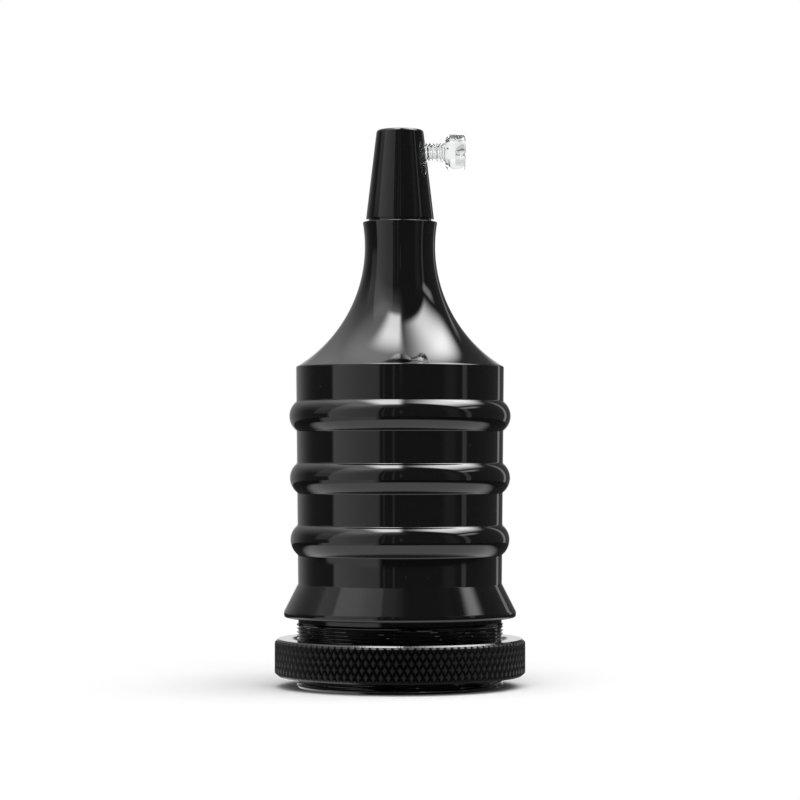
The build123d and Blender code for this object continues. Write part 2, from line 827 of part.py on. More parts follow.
with BuildPart() as neutral_terminal:
    add(terminal_block(-block_offset))
neutral_terminal.part.label = "neutral_terminal"
export_step(neutral_terminal.part, "parts/neutral_terminal.step")

with BuildPart() as live_screw:
    with Locations((0, block_offset)):
        add(screw_form)
live_screw.part.label = "live_screw"
export_step(live_screw.part, "parts/live_screw.step")

with BuildPart() as neutral_screw:
    with Locations((0, -block_offset)):
        add(screw_form)
neutral_screw.part.label = "neutral_screw"
export_step(neutral_screw.part, "parts/neutral_screw.step")

# Earth clamp: loose square plate under a screw in the bridge's strap
with BuildPart() as earth_plate:
    with BuildSketch(Plane.XY.offset(strap_top)):
        with Locations((earth_offset, 0)):
            RectangleRounded(earth_plate_side, earth_plate_side, block_edge)
            Circle(terminal_screw_radius + hole_clearance, mode=Mode.SUBTRACT)
    extrude(amount=earth_plate_thickness)
earth_plate.part.label = "earth_plate"
export_step(earth_plate.part, "parts/earth_plate.step")

with BuildPart() as earth_screw:
    earth_form = slotted_screw(
        strap_height - earth_screw_reach,
        terminal_screw_radius,
        strap_top + earth_plate_thickness + earth_screw_stand,
        terminal_head_radius,
        terminal_head,
    )
    with Locations((earth_offset, 0)):
        add(earth_form)
earth_screw.part.label = "earth_screw"
export_step(earth_screw.part, "parts/earth_screw.step")
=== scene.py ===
"""Looks of the pendant lamp holder: turned, knurled and threaded meshes, finishes and a small studio."""

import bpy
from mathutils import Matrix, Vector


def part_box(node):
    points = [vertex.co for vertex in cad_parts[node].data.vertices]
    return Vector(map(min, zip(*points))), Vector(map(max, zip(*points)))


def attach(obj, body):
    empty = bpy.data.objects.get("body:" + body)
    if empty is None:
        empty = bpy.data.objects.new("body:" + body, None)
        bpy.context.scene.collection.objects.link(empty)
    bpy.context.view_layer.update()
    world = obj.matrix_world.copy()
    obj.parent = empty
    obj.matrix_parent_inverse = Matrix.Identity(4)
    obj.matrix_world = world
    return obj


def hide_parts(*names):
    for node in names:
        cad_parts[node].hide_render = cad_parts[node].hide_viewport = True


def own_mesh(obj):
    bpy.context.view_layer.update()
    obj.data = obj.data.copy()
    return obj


bl_info = {
    "name": "Lamp Holder",
    "version": (1, 0, 0),
    "blender": (4, 5, 0),
    "location": "View3D > Sidebar > Lamp Holder",
    "description": "Builds the fine meshes, finishes and studio of a pendant lamp holder",
    "category": "Add Mesh",
}

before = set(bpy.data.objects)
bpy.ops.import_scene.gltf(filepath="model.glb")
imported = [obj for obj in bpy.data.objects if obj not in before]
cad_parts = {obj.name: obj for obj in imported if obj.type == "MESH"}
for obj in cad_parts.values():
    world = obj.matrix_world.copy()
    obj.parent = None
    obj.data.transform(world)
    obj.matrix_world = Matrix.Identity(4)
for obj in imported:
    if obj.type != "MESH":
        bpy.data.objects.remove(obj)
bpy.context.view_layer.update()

from math import atan2, ceil, copysign, cos, pi, radians, sin, sqrt, tan

import bpy
from bpy.props import FloatProperty, FloatVectorProperty, IntProperty, PointerProperty
from mathutils import Matrix, Vector


# Sizes and colours that a user may change

class ShellSizes(bpy.types.PropertyGroup):
    """Sizes of the turned shell, heights from the end of its skirt."""
    cavity_radius: FloatProperty(
        name="Cavity radius", description="Inside of the shell", default=0.0185, unit="LENGTH")
    skirt_radius: FloatProperty(
        name="Skirt radius", description="Crest of the shade thread", default=0.02035, unit="LENGTH")
    skirt_edge: FloatProperty(
        name="Skirt edge", description="Chamfer at the end of the skirt", default=0.0004, unit="LENGTH")
    undercut_radius: FloatProperty(
        name="Undercut radius", description="Plain band over the thread", default=0.02005, unit="LENGTH")
    undercut_height: FloatProperty(
        name="Undercut height", description="Height of the plain band", default=0.0013, unit="LENGTH")
    thread_pitch: FloatProperty(
        name="Shade thread pitch", description="Rise of the shade thread in one turn", default=0.0007,
        unit="LENGTH")
    thread_depth: FloatProperty(
        name="Shade thread depth", description="Depth of the shade thread", default=0.00038, unit="LENGTH")
    lip_height: FloatProperty(
        name="Lip height", description="Height of the lip's lower face", default=0.0137, unit="LENGTH")
    lip_radius: FloatProperty(
        name="Lip radius", description="Widest edge over the shade", default=0.02287, unit="LENGTH")
    lip_rim: FloatProperty(
        name="Lip rim", description="Straight rim of the lip", default=0.0012, unit="LENGTH")
    lip_round: FloatProperty(
        name="Lip round", description="Round under the lip", default=0.00055, unit="LENGTH")
    flare_top: FloatProperty(
        name="Flare top", description="Height where the flare meets the body", default=0.0203, unit="LENGTH")
    body_base_radius: FloatProperty(
        name="Body base radius", description="Body just over the flare", default=0.02013, unit="LENGTH")
    body_top_radius: FloatProperty(
        name="Body top radius", description="Body at the shoulder", default=0.02055, unit="LENGTH")
    shoulder_height: FloatProperty(
        name="Shoulder height", description="Where the bell starts", default=0.06305, unit="LENGTH")
    first_bead: FloatProperty(
        name="First bead", description="Height of the lowest bead's middle", default=0.02895, unit="LENGTH")
    bead_pitch: FloatProperty(
        name="Bead pitch", description="Distance between two beads", default=0.01218, unit="LENGTH")
    bead_width: FloatProperty(
        name="Bead width", description="Height of one bead", default=0.0059, unit="LENGTH")
    bead_swell: FloatProperty(
        name="Bead swell", description="How far a bead stands proud", default=0.00142, unit="LENGTH")
    bead_count: IntProperty(
        name="Beads", description="Number of turned beads", default=3, min=1, max=4)
    waist_radius: FloatProperty(
        name="Waist radius", description="Narrowest place of the neck", default=0.00697, unit="LENGTH")
    waist_height: FloatProperty(
        name="Waist height", description="Height of the narrowest place", default=0.08685, unit="LENGTH")
    rim_height: FloatProperty(
        name="Rim height", description="Top face of the neck", default=0.0917, unit="LENGTH")
    neck_bore_radius: FloatProperty(
        name="Neck bore radius", description="Hole for the threaded tube", default=0.0051, unit="LENGTH")
    bell_wall: FloatProperty(
        name="Bell wall", description="Wall of the bell", default=0.0022, unit="LENGTH")
    nut_seat_radius: FloatProperty(
        name="Nut seat radius", description="Flat seat inside the neck", default=0.009, unit="LENGTH")


class RingSizes(bpy.types.PropertyGroup):
    """Sizes of the knurled shade ring."""
    rest_height: FloatProperty(
        name="Rest height", description="Lower face of the ring at rest", default=0.0022, unit="LENGTH")
    height: FloatProperty(
        name="Ring height", description="Height of the ring", default=0.0073, unit="LENGTH")
    radius: FloatProperty(
        name="Ring radius", description="Crests of the knurl", default=0.0247, unit="LENGTH")
    bore_radius: FloatProperty(
        name="Ring bore radius", description="Crest of the inner thread", default=0.02045, unit="LENGTH")
    chamfer: FloatProperty(
        name="Ring chamfer", description="Turned chamfer at both edges", default=0.00068, unit="LENGTH")
    countersink: FloatProperty(
        name="Ring countersink", description="Lead-in at the top of the bore", default=0.0009, unit="LENGTH")
    knurl_depth: FloatProperty(
        name="Knurl depth", description="Depth of the knurl's grooves", default=0.00042, unit="LENGTH")
    knurl_rise: FloatProperty(
        name="Knurl rise", description="Height of half a diamond", default=0.00134, unit="LENGTH")
    knurl_count: IntProperty(
        name="Knurl count", description="Diamonds round the ring", default=106, min=12)


class GripSizes(bpy.types.PropertyGroup):
    """Sizes of the cord grip, the tube through the neck and the clear clamp screw."""
    base_height: FloatProperty(
        name="Grip base height", description="Lower edge of the cone", default=0.0922, unit="LENGTH")
    top_height: FloatProperty(
        name="Grip top height", description="Top face of the grip", default=0.11, unit="LENGTH")
    foot_radius: FloatProperty(
        name="Grip foot radius", description="Spigot that stands on the neck", default=0.0062, unit="LENGTH")
    base_radius: FloatProperty(
        name="Grip base radius", description="Cone at its lower edge", default=0.00675, unit="LENGTH")
    top_radius: FloatProperty(
        name="Grip top radius", description="Cone at its top", default=0.00462, unit="LENGTH")
    top_round: FloatProperty(
        name="Grip top round", description="Round at the top edge", default=0.0007, unit="LENGTH")
    cable_radius: FloatProperty(
        name="Cable bore radius", description="Way through for the cable", default=0.0034, unit="LENGTH")
    tube_radius: FloatProperty(
        name="Tube radius", description="Crest of the tube's thread", default=0.005, unit="LENGTH")
    tube_bore_radius: FloatProperty(
        name="Tube bore radius", description="Bore of the tube", default=0.0039, unit="LENGTH")
    tube_bottom: FloatProperty(
        name="Tube bottom", description="Lower end of the tube", default=0.0509, unit="LENGTH")
    tube_top: FloatProperty(
        name="Tube top", description="Upper end of the tube", default=0.099, unit="LENGTH")
    tube_pitch: FloatProperty(
        name="Tube thread pitch", description="Pitch of the tube's thread", default=0.001, unit="LENGTH")
    screw_height: FloatProperty(
        name="Clamp screw height", description="Axis of the clamp screw", default=0.1055, unit="LENGTH")
    screw_radius: FloatProperty(
        name="Clamp screw radius", description="Crest of its thread", default=0.0019, unit="LENGTH")
    screw_pitch: FloatProperty(
        name="Clamp screw pitch", description="Pitch of its thread", default=0.0007, unit="LENGTH")
    screw_tip: FloatProperty(
        name="Clamp screw tip", description="Place of the tip along X", default=0.00345, unit="LENGTH")
    screw_length: FloatProperty(
        name="Clamp screw length", description="Threaded length", default=0.0055, unit="LENGTH")
    head_length: FloatProperty(
        name="Clamp head length", description="Length of the head", default=0.004, unit="LENGTH")
    head_radius: FloatProperty(
        name="Clamp head radius", description="Radius of the head", default=0.0036, unit="LENGTH")
    recess_span: FloatProperty(
        name="Recess span", description="Span of the cross recess", default=0.0044, unit="LENGTH")
    recess_width: FloatProperty(
        name="Recess width", description="Width of an arm of the cross", default=0.0011, unit="LENGTH")
    recess_depth: FloatProperty(
        name="Recess depth", description="Depth of the cross recess", default=0.002, unit="LENGTH")


class SocketSizes(bpy.types.PropertyGroup):
    """Sizes of the rolled screw shell that takes the lamp."""
    bottom: FloatProperty(
        name="Sleeve bottom", description="Open end of the sleeve", default=0.0046, unit="LENGTH")
    top: FloatProperty(
        name="Sleeve top", description="Outside of the sleeve's floor", default=0.0274, unit="LENGTH")
    thread_start: FloatProperty(
        name="Lamp thread start", description="Where the rolled thread begins", default=0.0052,
        unit="LENGTH")
    mean_radius: FloatProperty(
        name="Sleeve radius", description="Inside of the plain sleeve", default=0.0128, unit="LENGTH")
    thread_rise: FloatProperty(
        name="Lamp thread rise", description="Swell of the rolled thread", default=0.0005, unit="LENGTH")
    pitch: FloatProperty(
        name="Lamp thread pitch", description="Pitch of the rolled thread", default=0.003629, unit="LENGTH")
    turns: FloatProperty(
        name="Lamp thread turns", description="Turns of the rolled thread", default=4.5)
    wall: FloatProperty(
        name="Sleeve wall", description="Sheet of the sleeve", default=0.0004, unit="LENGTH")
    floor_opening: FloatProperty(
        name="Floor opening", description="Hole for the centre contact", default=0.0056, unit="LENGTH")
    spring_radius: FloatProperty(
        name="Spring radius", description="Middle of the contact spring's wire", default=0.00175,
        unit="LENGTH")
    spring_wire: FloatProperty(
        name="Spring wire", description="Radius of the spring's wire", default=0.00025, unit="LENGTH")
    spring_turns: FloatProperty(
        name="Spring turns", description="Turns of the contact spring", default=6.0)
    contact_travel: FloatProperty(
        name="Contact travel", description="How far a lamp presses the contact in", default=0.0019,
        unit="LENGTH")


class StudioSettings(bpy.types.PropertyGroup):
    """Colours of the finishes and strength of the studio's lamps."""
    black: FloatVectorProperty(
        name="Black gloss", description="Colour of the shell, ring and grip",
        default=(0.0022, 0.0022, 0.0024), subtype="COLOR")
    steel: FloatVectorProperty(
        name="Zinc plate", description="Colour of the plated steel",
        default=(0.56, 0.57, 0.58), subtype="COLOR")
    brass: FloatVectorProperty(
        name="Brass", description="Colour of the bare brass",
        default=(0.70, 0.48, 0.20), subtype="COLOR")
    nickel: FloatVectorProperty(
        name="Nickel plate", description="Colour of the plated brass",
        default=(0.62, 0.58, 0.50), subtype="COLOR")
    ceramic: FloatVectorProperty(
        name="Ceramic", description="Colour of the glazed core",
        default=(0.80, 0.79, 0.75), subtype="COLOR")
    clear: FloatVectorProperty(
        name="Clear plastic", description="Tint of the clamp screw",
        default=(0.94, 0.95, 0.95), subtype="COLOR")
    softboxes: FloatProperty(
        name="Softboxes", description="Strength of the softboxes and cards", default=1.0, min=0.0)
    dull_share: FloatProperty(
        name="Dull share", description="Share of the softboxes' light on dull surfaces", default=0.2, min=0.0)
    ambient: FloatProperty(
        name="Ambient", description="Even light of the room on dull surfaces", default=0.25, min=0.0)
    key: FloatProperty(
        name="Key lamp", description="Radiance of the soft key lamp", default=2.1, min=0.0)


# Short calls that build node trees

def add_node(tree, kind, values=(), **options):
    """Adds a node, sets its options and fills its inputs with values or links."""
    made = tree.nodes.new(kind)
    made.location = (190 * (len(tree.nodes) % 12), -230 * (len(tree.nodes) // 12))
    for option, value in options.items():
        setattr(made, option, value)
    for key, value in dict(values).items():
        if isinstance(value, bpy.types.NodeSocket):
            tree.links.new(value, made.inputs[key])
        else:
            made.inputs[key].default_value = value
    return made


def maths(tree, operation, *terms):
    """One step of arithmetic on numbers or links."""
    return add_node(tree, "ShaderNodeMath", enumerate(terms), operation=operation).outputs[0]


def product(tree, *terms):
    """Product of numbers or links."""
    made = terms[0]
    for term in terms[1:]:
        made = maths(tree, "MULTIPLY", made, term)
    return made


def largest(tree, *terms):
    """Largest of numbers or links."""
    made = terms[0]
    for term in terms[1:]:
        made = maths(tree, "MAXIMUM", made, term)
    return made


def fade(tree, value, start, end):
    """Smooth step from 0 at start to 1 at end."""
    values = {0: value, 1: start, 2: end, 3: 0.0, 4: 1.0}
    return add_node(tree, "ShaderNodeMapRange", values, interpolation_type="SMOOTHSTEP").outputs[0]


def stretch(tree, value, low, high):
    """Even step from 0 at the low value to 1 at the high one."""
    return add_node(tree, "ShaderNodeMapRange", {0: value, 1: low, 2: high, 3: 0.0, 4: 1.0}).outputs[0]


def blend_colours(tree, share, first, second):
    """Colour between two others."""
    values = {0: share, 6: first, 7: second}
    return add_node(tree, "ShaderNodeMix", values, data_type="RGBA").outputs[2]


def blend_numbers(tree, share, first, second):
    """Number between two others."""
    return add_node(tree, "ShaderNodeMix", {0: share, 2: first, 3: second}).outputs[0]


def new_tree(name, kind, sockets):
    """Node tree with named inputs and outputs, given as (name, direction, type, default)."""
    tree = bpy.data.node_groups.new(name, kind)
    for label, direction, form, default in sockets:
        socket = tree.interface.new_socket(label, in_out=direction, socket_type="NodeSocket" + form)
        if default is not None:
            socket.default_value = default
    return tree


# Geometry Nodes

SEAM_GAP = 2e-7  # joins the first and last column of a turned piece
THREAD_TURNS, KNURL_TURNS = 100.0, 200.0  # whole turns that keep a groove's place over zero

TURNED_SOCKETS = [
    ("Outline", "INPUT", "Geometry", None),
    ("Segments", "INPUT", "Int", 192),
    ("Thread Pitch", "INPUT", "Float", 1.0),
    ("Thread Depth", "INPUT", "Float", 0.0),
    ("Rolled", "INPUT", "Float", 0.0),
    ("Sharp Angle", "INPUT", "Float", radians(28)),
    ("Material", "INPUT", "Material", None),
    ("Piece", "OUTPUT", "Geometry", None),
]


def outline_count(tree, source):
    """How many points the outline has."""
    size = add_node(tree, "GeometryNodeAttributeDomainSize", {0: source["Outline"]}, component="MESH")
    return size.outputs["Point Count"]


def grid_place(tree, rows):
    """Column and row of each point, or each face, in a grid with this many of them in a column."""
    index = add_node(tree, "GeometryNodeInputIndex").outputs[0]
    column = maths(tree, "FLOOR", maths(tree, "DIVIDE", maths(tree, "ADD", index, 0.5), rows))
    return column, maths(tree, "SUBTRACT", index, product(tree, column, rows))


def outline_lookup(tree, source):
    """Nodes that read the closed outline's points for the rows of a grid, and the turn of each column."""
    count = outline_count(tree, source)
    rows = maths(tree, "ADD", count, 1)
    columns = maths(tree, "ADD", source["Segments"], 1)
    grid = add_node(tree, "GeometryNodeMeshGrid", {"Vertices X": columns, "Vertices Y": rows})
    column, row = grid_place(tree, rows)
    row = maths(tree, "MODULO", row, count)
    place = add_node(tree, "GeometryNodeInputPosition").outputs[0]
    weight = add_node(tree, "GeometryNodeInputNamedAttribute", {"Name": "thread"}, data_type="FLOAT")
    point, thread = (
        add_node(tree, "GeometryNodeSampleIndex", {0: source["Outline"], "Value": value, "Index": row},
                 data_type=kind, domain="POINT").outputs[0]
        for value, kind in ((place, "FLOAT_VECTOR"), (weight.outputs[0], "FLOAT")))
    parts = add_node(tree, "ShaderNodeSeparateXYZ", {0: point}).outputs
    turn = maths(tree, "DIVIDE", column, source["Segments"])
    return grid.outputs["Mesh"], parts["X"], parts["Z"], thread, turn


def close_and_finish(tree, source, mesh, radius, height, turn):
    """Bends the grid round Z, joins its seam, marks sharp edges and sets the material."""
    angle = product(tree, turn, 2 * pi)
    place = add_node(tree, "ShaderNodeCombineXYZ", {
        "X": product(tree, radius, maths(tree, "COSINE", angle)),
        "Y": product(tree, radius, maths(tree, "SINE", angle)),
        "Z": height,
    })
    bent = add_node(tree, "GeometryNodeSetPosition", {"Geometry": mesh, "Position": place.outputs[0]})
    joined = add_node(tree, "GeometryNodeMergeByDistance", {
        "Geometry": bent.outputs[0], "Distance": SEAM_GAP})
    smooth = add_node(tree, "GeometryNodeSetShadeSmooth", {"Geometry": joined.outputs[0]}, domain="FACE")
    bend = add_node(tree, "GeometryNodeInputMeshEdgeAngle").outputs[0]
    sharp = add_node(tree, "GeometryNodeSetShadeSmooth", {
        "Geometry": smooth.outputs[0],
        "Selection": maths(tree, "GREATER_THAN", bend, source["Sharp Angle"]),
        "Shade Smooth": False,
    }, domain="EDGE")
    put_out(tree, source, sharp.outputs[0])


def put_out(tree, source, mesh):
    """Ends a tree with plain geometry in the material that it was given."""
    real = add_node(tree, "GeometryNodeRealizeInstances", {0: mesh})
    dressed = add_node(tree, "GeometryNodeSetMaterial", {
        "Geometry": real.outputs[0], "Material": source["Material"]})
    add_node(tree, "NodeGroupOutput", {"Piece": dressed.outputs[0]})


def groove_place(tree, source, height, turn):
    """Place within one pitch of a helical groove, from 0 to 1."""
    lead = maths(tree, "SUBTRACT", maths(tree, "DIVIDE", height, source["Thread Pitch"]), turn)
    return maths(tree, "FRACT", maths(tree, "ADD", lead, THREAD_TURNS))


def off_middle(tree, place):
    """0 at the middle of a pitch and 1 at both its ends."""
    return maths(tree, "ABSOLUTE", maths(tree, "SUBTRACT", product(tree, place, 2.0), 1.0))


def turned_tree():
    """Turns a closed outline round Z. Points with a thread weight get a helical groove of that share."""
    tree = new_tree("Turned Piece", "GeometryNodeTree", TURNED_SOCKETS)
    source = add_node(tree, "NodeGroupInput").outputs
    mesh, radius, height, thread, turn = outline_lookup(tree, source)
    phase = groove_place(tree, source, height, turn)
    root, crest = 0.12, 0.88
    flank = stretch(tree, off_middle(tree, phase), root, crest)
    wave = maths(tree, "COSINE", product(tree, phase, 2 * pi))
    wave = maths(tree, "MULTIPLY_ADD", wave, 0.5, 0.5)
    form = blend_numbers(tree, source["Rolled"], flank, wave)
    cut = product(tree, maths(tree, "SUBTRACT", 1.0, form), source["Thread Depth"])
    radius = maths(tree, "SUBTRACT", radius, product(tree, cut, thread))
    close_and_finish(tree, source, mesh, radius, height, turn)
    return tree


def knurled_tree():
    """Turned ring whose outer rows are pressed into a net of diamonds between crossing grooves."""
    extra = [
        ("Knurl Count", "INPUT", "Int", 106),
        ("Knurl Rise", "INPUT", "Float", 0.00134),
        ("Knurl Root", "INPUT", "Float", 0.02428),
        ("Knurl Depth", "INPUT", "Float", 0.00042),
        ("Knurl Start", "INPUT", "Float", 0.0),
        ("Knurl Land", "INPUT", "Float", 0.5),
        ("Steps", "INPUT", "Int", 4),
    ]
    tree = new_tree("Knurled Ring", "GeometryNodeTree", TURNED_SOCKETS[:-1] + extra + TURNED_SOCKETS[-1:])
    source = add_node(tree, "NodeGroupInput").outputs
    mesh, radius, height, weight, turn = outline_lookup(tree, source)
    rise = maths(tree, "SUBTRACT", height, source["Knurl Start"])
    rise = maths(tree, "DIVIDE", rise, source["Knurl Rise"])
    across = product(tree, turn, source["Knurl Count"])
    ridges = []
    for side in (0.5, -0.5):
        lead = maths(tree, "ADD", maths(tree, "MULTIPLY_ADD", rise, side, across), KNURL_TURNS)
        ridges.append(maths(tree, "SUBTRACT", 1.0, off_middle(tree, maths(tree, "FRACT", lead))))
    peak = maths(tree, "MINIMUM", maths(tree, "MINIMUM", *ridges), source["Knurl Land"])
    pressed = maths(tree, "MULTIPLY_ADD", maths(tree, "DIVIDE", peak, source["Knurl Land"]),
                    source["Knurl Depth"], source["Knurl Root"])
    outer = maths(tree, "MINIMUM", radius, pressed)
    slope = off_middle(tree, groove_place(tree, source, height, turn))
    cut = product(tree, maths(tree, "SUBTRACT", 1.0, slope), source["Thread Depth"])
    inward = largest(tree, product(tree, weight, -1.0), 0.0)
    inner = maths(tree, "ADD", radius, product(tree, cut, inward))
    radius = blend_numbers(tree, maths(tree, "GREATER_THAN", weight, 0.5), inner, outer)
    column, row = grid_place(tree, outline_count(tree, source))
    block = maths(tree, "ADD", maths(tree, "FLOOR", maths(tree, "DIVIDE", column, source["Steps"])),
                  maths(tree, "FLOOR", maths(tree, "DIVIDE", row, source["Steps"])))
    odd = maths(tree, "GREATER_THAN", maths(tree, "MODULO", block, 2.0), 0.5)
    leaning = add_node(tree, "GeometryNodeTriangulate", {"Mesh": mesh, "Selection": odd},
                       quad_method="FIXED_ALTERNATE")
    facets = add_node(tree, "GeometryNodeTriangulate", {"Mesh": leaning.outputs[0]}, quad_method="FIXED")
    close_and_finish(tree, source, facets.outputs[0], radius, height, turn)
    return tree


def coil_tree():
    """Wire coil that rises from its base height, with closed wire ends."""
    tree = new_tree("Coil Spring", "GeometryNodeTree", [
        ("Outline", "INPUT", "Geometry", None),
        ("Coil Radius", "INPUT", "Float", 0.00175),
        ("Wire Radius", "INPUT", "Float", 0.00025),
        ("Turns", "INPUT", "Float", 6.0),
        ("Base Height", "INPUT", "Float", 0.0),
        ("Rise", "INPUT", "Float", 0.005),
        ("Material", "INPUT", "Material", None),
        ("Piece", "OUTPUT", "Geometry", None),
    ])
    source = add_node(tree, "NodeGroupInput").outputs
    path = add_node(tree, "GeometryNodeCurveSpiral", {
        "Resolution": 36, "Rotations": source["Turns"], "Start Radius": source["Coil Radius"],
        "End Radius": source["Coil Radius"], "Height": source["Rise"]})
    lift = add_node(tree, "ShaderNodeCombineXYZ", {"Z": source["Base Height"]})
    raised = add_node(tree, "GeometryNodeSetPosition", {
        "Geometry": path.outputs[0], "Offset": lift.outputs[0]})
    wire = add_node(tree, "GeometryNodeCurvePrimitiveCircle", {
        "Resolution": 14, "Radius": source["Wire Radius"]})
    swept = add_node(tree, "GeometryNodeCurveToMesh", {
        "Curve": raised.outputs[0], "Profile Curve": wire.outputs[0], "Fill Caps": True})
    smooth = add_node(tree, "GeometryNodeSetShadeSmooth", {"Geometry": swept.outputs[0]}, domain="FACE")
    put_out(tree, source, smooth.outputs[0])
    return tree


# Outlines, as (radius, height, thread weight) points in order round the section

RING_PITCH, RING_DEPTH = 0.0007, 0.00035  # thread in the ring's bore


def corner(point, before, after, reach, steps=6):
    """Points of a round that replaces a corner, starting and ending at this reach from it."""
    spot, start, end = Vector(point[:2]), Vector(before[:2]), Vector(after[:2])
    start = spot + (start - spot).normalized() * reach
    end = spot + (end - spot).normalized() * reach
    made = []
    for step in range(steps + 1):
        share = step / steps
        curve = start * (1 - share) ** 2 + spot * (2 * share * (1 - share)) + end * share**2
        made.append((curve.x, curve.y, 0.0))
    return made


def arc(centre, radius, start, end, steps):
    """Points on an arc in the section's plane."""
    return [
        (centre[0] + radius * cos(start + (end - start) * step / steps),
         centre[1] + radius * sin(start + (end - start) * step / steps), 0.0)
        for step in range(steps + 1)
    ]


def threaded_run(radius, low, high, pitch, rows, runout, sign=1.0):
    """Threaded length with this many rows to a pitch, faded over the runout's pitches at both ends."""
    steps = max(2, ceil((high - low) / pitch * rows))
    made = []
    for step in range(steps + 1):
        height = low + (high - low) * step / steps
        share = min(1.0, (height - low) / (runout * pitch), (high - height) / (runout * pitch))
        made.append((radius, height, sign * max(0.0, share)))
    return made


def bead_points(sizes, base, slope, middle):
    """One bead on the body, with a small round at both of its feet."""
    swell, half, foot_reach = sizes.bead_swell, sizes.bead_width / 2, 0.00022
    radius = (half**2 + swell**2) / (2 * swell)
    start = -atan2(half, radius - swell) + foot_reach / radius
    bulge = arc((base + swell - radius, middle), radius, start, -start, steps=30)
    low, high = (base - slope * half, middle - half), (base + slope * half, middle + half)
    points = corner(low, (low[0], low[1] - foot_reach), bulge[0], foot_reach, steps=5)
    points += bulge[1:-1]
    points += corner(high, bulge[-1], (high[0], high[1] + foot_reach), foot_reach, steps=5)
    return points


def skirt_points(sizes):
    """Threaded skirt, undercut, lip and flare, up to the foot of the body."""
    skirt, edge, undercut = sizes.skirt_radius, sizes.skirt_edge, sizes.undercut_radius
    thread_top = sizes.lip_height - sizes.undercut_height
    rim_reach, flare_reach = 0.00012, 0.0001
    points = [(sizes.cavity_radius + edge, 0.0, 0.0), (skirt - edge, 0.0, 0.0)]
    points += threaded_run(skirt, edge, thread_top, sizes.thread_pitch, rows=7, runout=0.6)
    points += [(undercut, thread_top + edge, 0.0), (undercut, sizes.lip_height, 0.0)]
    lip = (sizes.lip_radius, sizes.lip_height)
    rim = (sizes.lip_radius, sizes.lip_height + sizes.lip_rim)
    flare = (sizes.body_base_radius, sizes.flare_top)
    body_end = (sizes.body_base_radius, sizes.shoulder_height)
    points += corner(lip, points[-1], rim, sizes.lip_round)
    points += corner(rim, lip, flare, rim_reach, steps=3)
    points += corner(flare, rim, body_end, flare_reach, steps=3)
    return points


def bell_points(sizes):
    """Concave bell from the shoulder to the neck's rim, and its inside down to the cavity."""
    shoulder_reach, neck_reach, bore_reach = 0.00022, 0.00026, 0.00012
    cavity, bore, rim = sizes.cavity_radius, sizes.neck_bore_radius, sizes.rim_height
    run = sizes.body_top_radius - sizes.waist_radius
    rise = sizes.waist_height - sizes.shoulder_height
    bell = (run**2 + rise**2) / (2 * run)
    centre = (sizes.waist_radius + bell, sizes.waist_height)
    neck = rim - sizes.waist_height
    start, end = pi + atan2(rise, bell - run), pi - atan2(neck, sqrt(bell**2 - neck**2))
    curve = arc(centre, bell, start, end, steps=90)
    points = corner(curve[0], (curve[0][0], 0.0), curve[1], shoulder_reach, steps=5)
    points += curve[2:-2]
    points += corner(curve[-1], curve[-2], (0.0, rim), neck_reach)
    points += corner((bore, rim), (sizes.skirt_radius, rim), (bore, 0.0), bore_reach, steps=2)
    inner = bell + sizes.bell_wall
    seat = sizes.waist_height - sqrt(inner**2 - (centre[0] - sizes.nut_seat_radius) ** 2)
    roof = sizes.waist_height - sqrt(inner**2 - (centre[0] - cavity) ** 2)
    first = pi + atan2(sizes.waist_height - seat, centre[0] - sizes.nut_seat_radius)
    last = pi + atan2(sizes.waist_height - roof, centre[0] - cavity)
    points += [(bore, seat, 0.0), *arc(centre, inner, first, last, steps=24)]
    return points


def shell_outline(sizes):
    """Section of the shell from the skirt's end up the outside and down the inside."""
    slope = (sizes.body_top_radius - sizes.body_base_radius) / (sizes.shoulder_height - sizes.flare_top)
    points = skirt_points(sizes)
    for bead in range(sizes.bead_count):
        middle = sizes.first_bead + bead * sizes.bead_pitch
        base = sizes.body_base_radius + slope * (middle - sizes.flare_top)
        points += bead_points(sizes, base, slope, middle)
    points += bell_points(sizes)
    points += [(sizes.cavity_radius, sizes.skirt_edge, 0.0)]
    return points


def ring_outline(sizes, steps):
    """Section of the shade ring: knurled rows first, then top face, countersink, thread and bottom face."""
    low, high = sizes.rest_height, sizes.rest_height + sizes.height
    row = sizes.knurl_rise / steps
    middle = (low + high) / 2
    half_rows = ceil((high - middle) / row)
    points = []
    for step in range(-half_rows, half_rows + 1):
        height = min(high, max(low, middle + step * row))
        reach = min(height - low, high - height)
        limit = sizes.radius if reach >= sizes.chamfer else sizes.radius - sizes.chamfer + reach
        points.append((limit, height, 1.0))
    bore, sink, land, edge = sizes.bore_radius, sizes.countersink, 0.0015, 0.0004
    points += [(bore + sink + land, high, 0.0), (bore + sink, high, 0.0)]
    points += reversed(
        threaded_run(bore, low + edge, high - sink, RING_PITCH, rows=6, runout=0.6, sign=-1.0))
    points += [(bore + edge, low, 0.0)]
    return points, middle - half_rows * row


def grip_outline(sizes):
    """Section of the cord grip."""
    base, top = sizes.base_height, sizes.top_height
    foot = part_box("cord_grip")[0][2]
    lower, upper = (sizes.base_radius, base), (sizes.top_radius, top)
    ease = 0.00003
    bore, tube = sizes.cable_radius, sizes.tube_radius + ease
    base_reach, top_reach, bore_reach = 0.0002, 0.94 * sizes.top_round, 0.00035
    points = [(tube, foot, 0.0), (sizes.foot_radius, foot, 0.0)]
    points += [(sizes.foot_radius, base, 0.0)]
    points += corner(lower, (0.0, base), upper, base_reach, steps=4)
    points += corner(upper, lower, (0.0, top), top_reach, steps=8)
    points += corner((bore, top), upper, (bore, 0.0), bore_reach, steps=3)
    points += [(bore, sizes.tube_top, 0.0), (tube, sizes.tube_top, 0.0)]
    return points


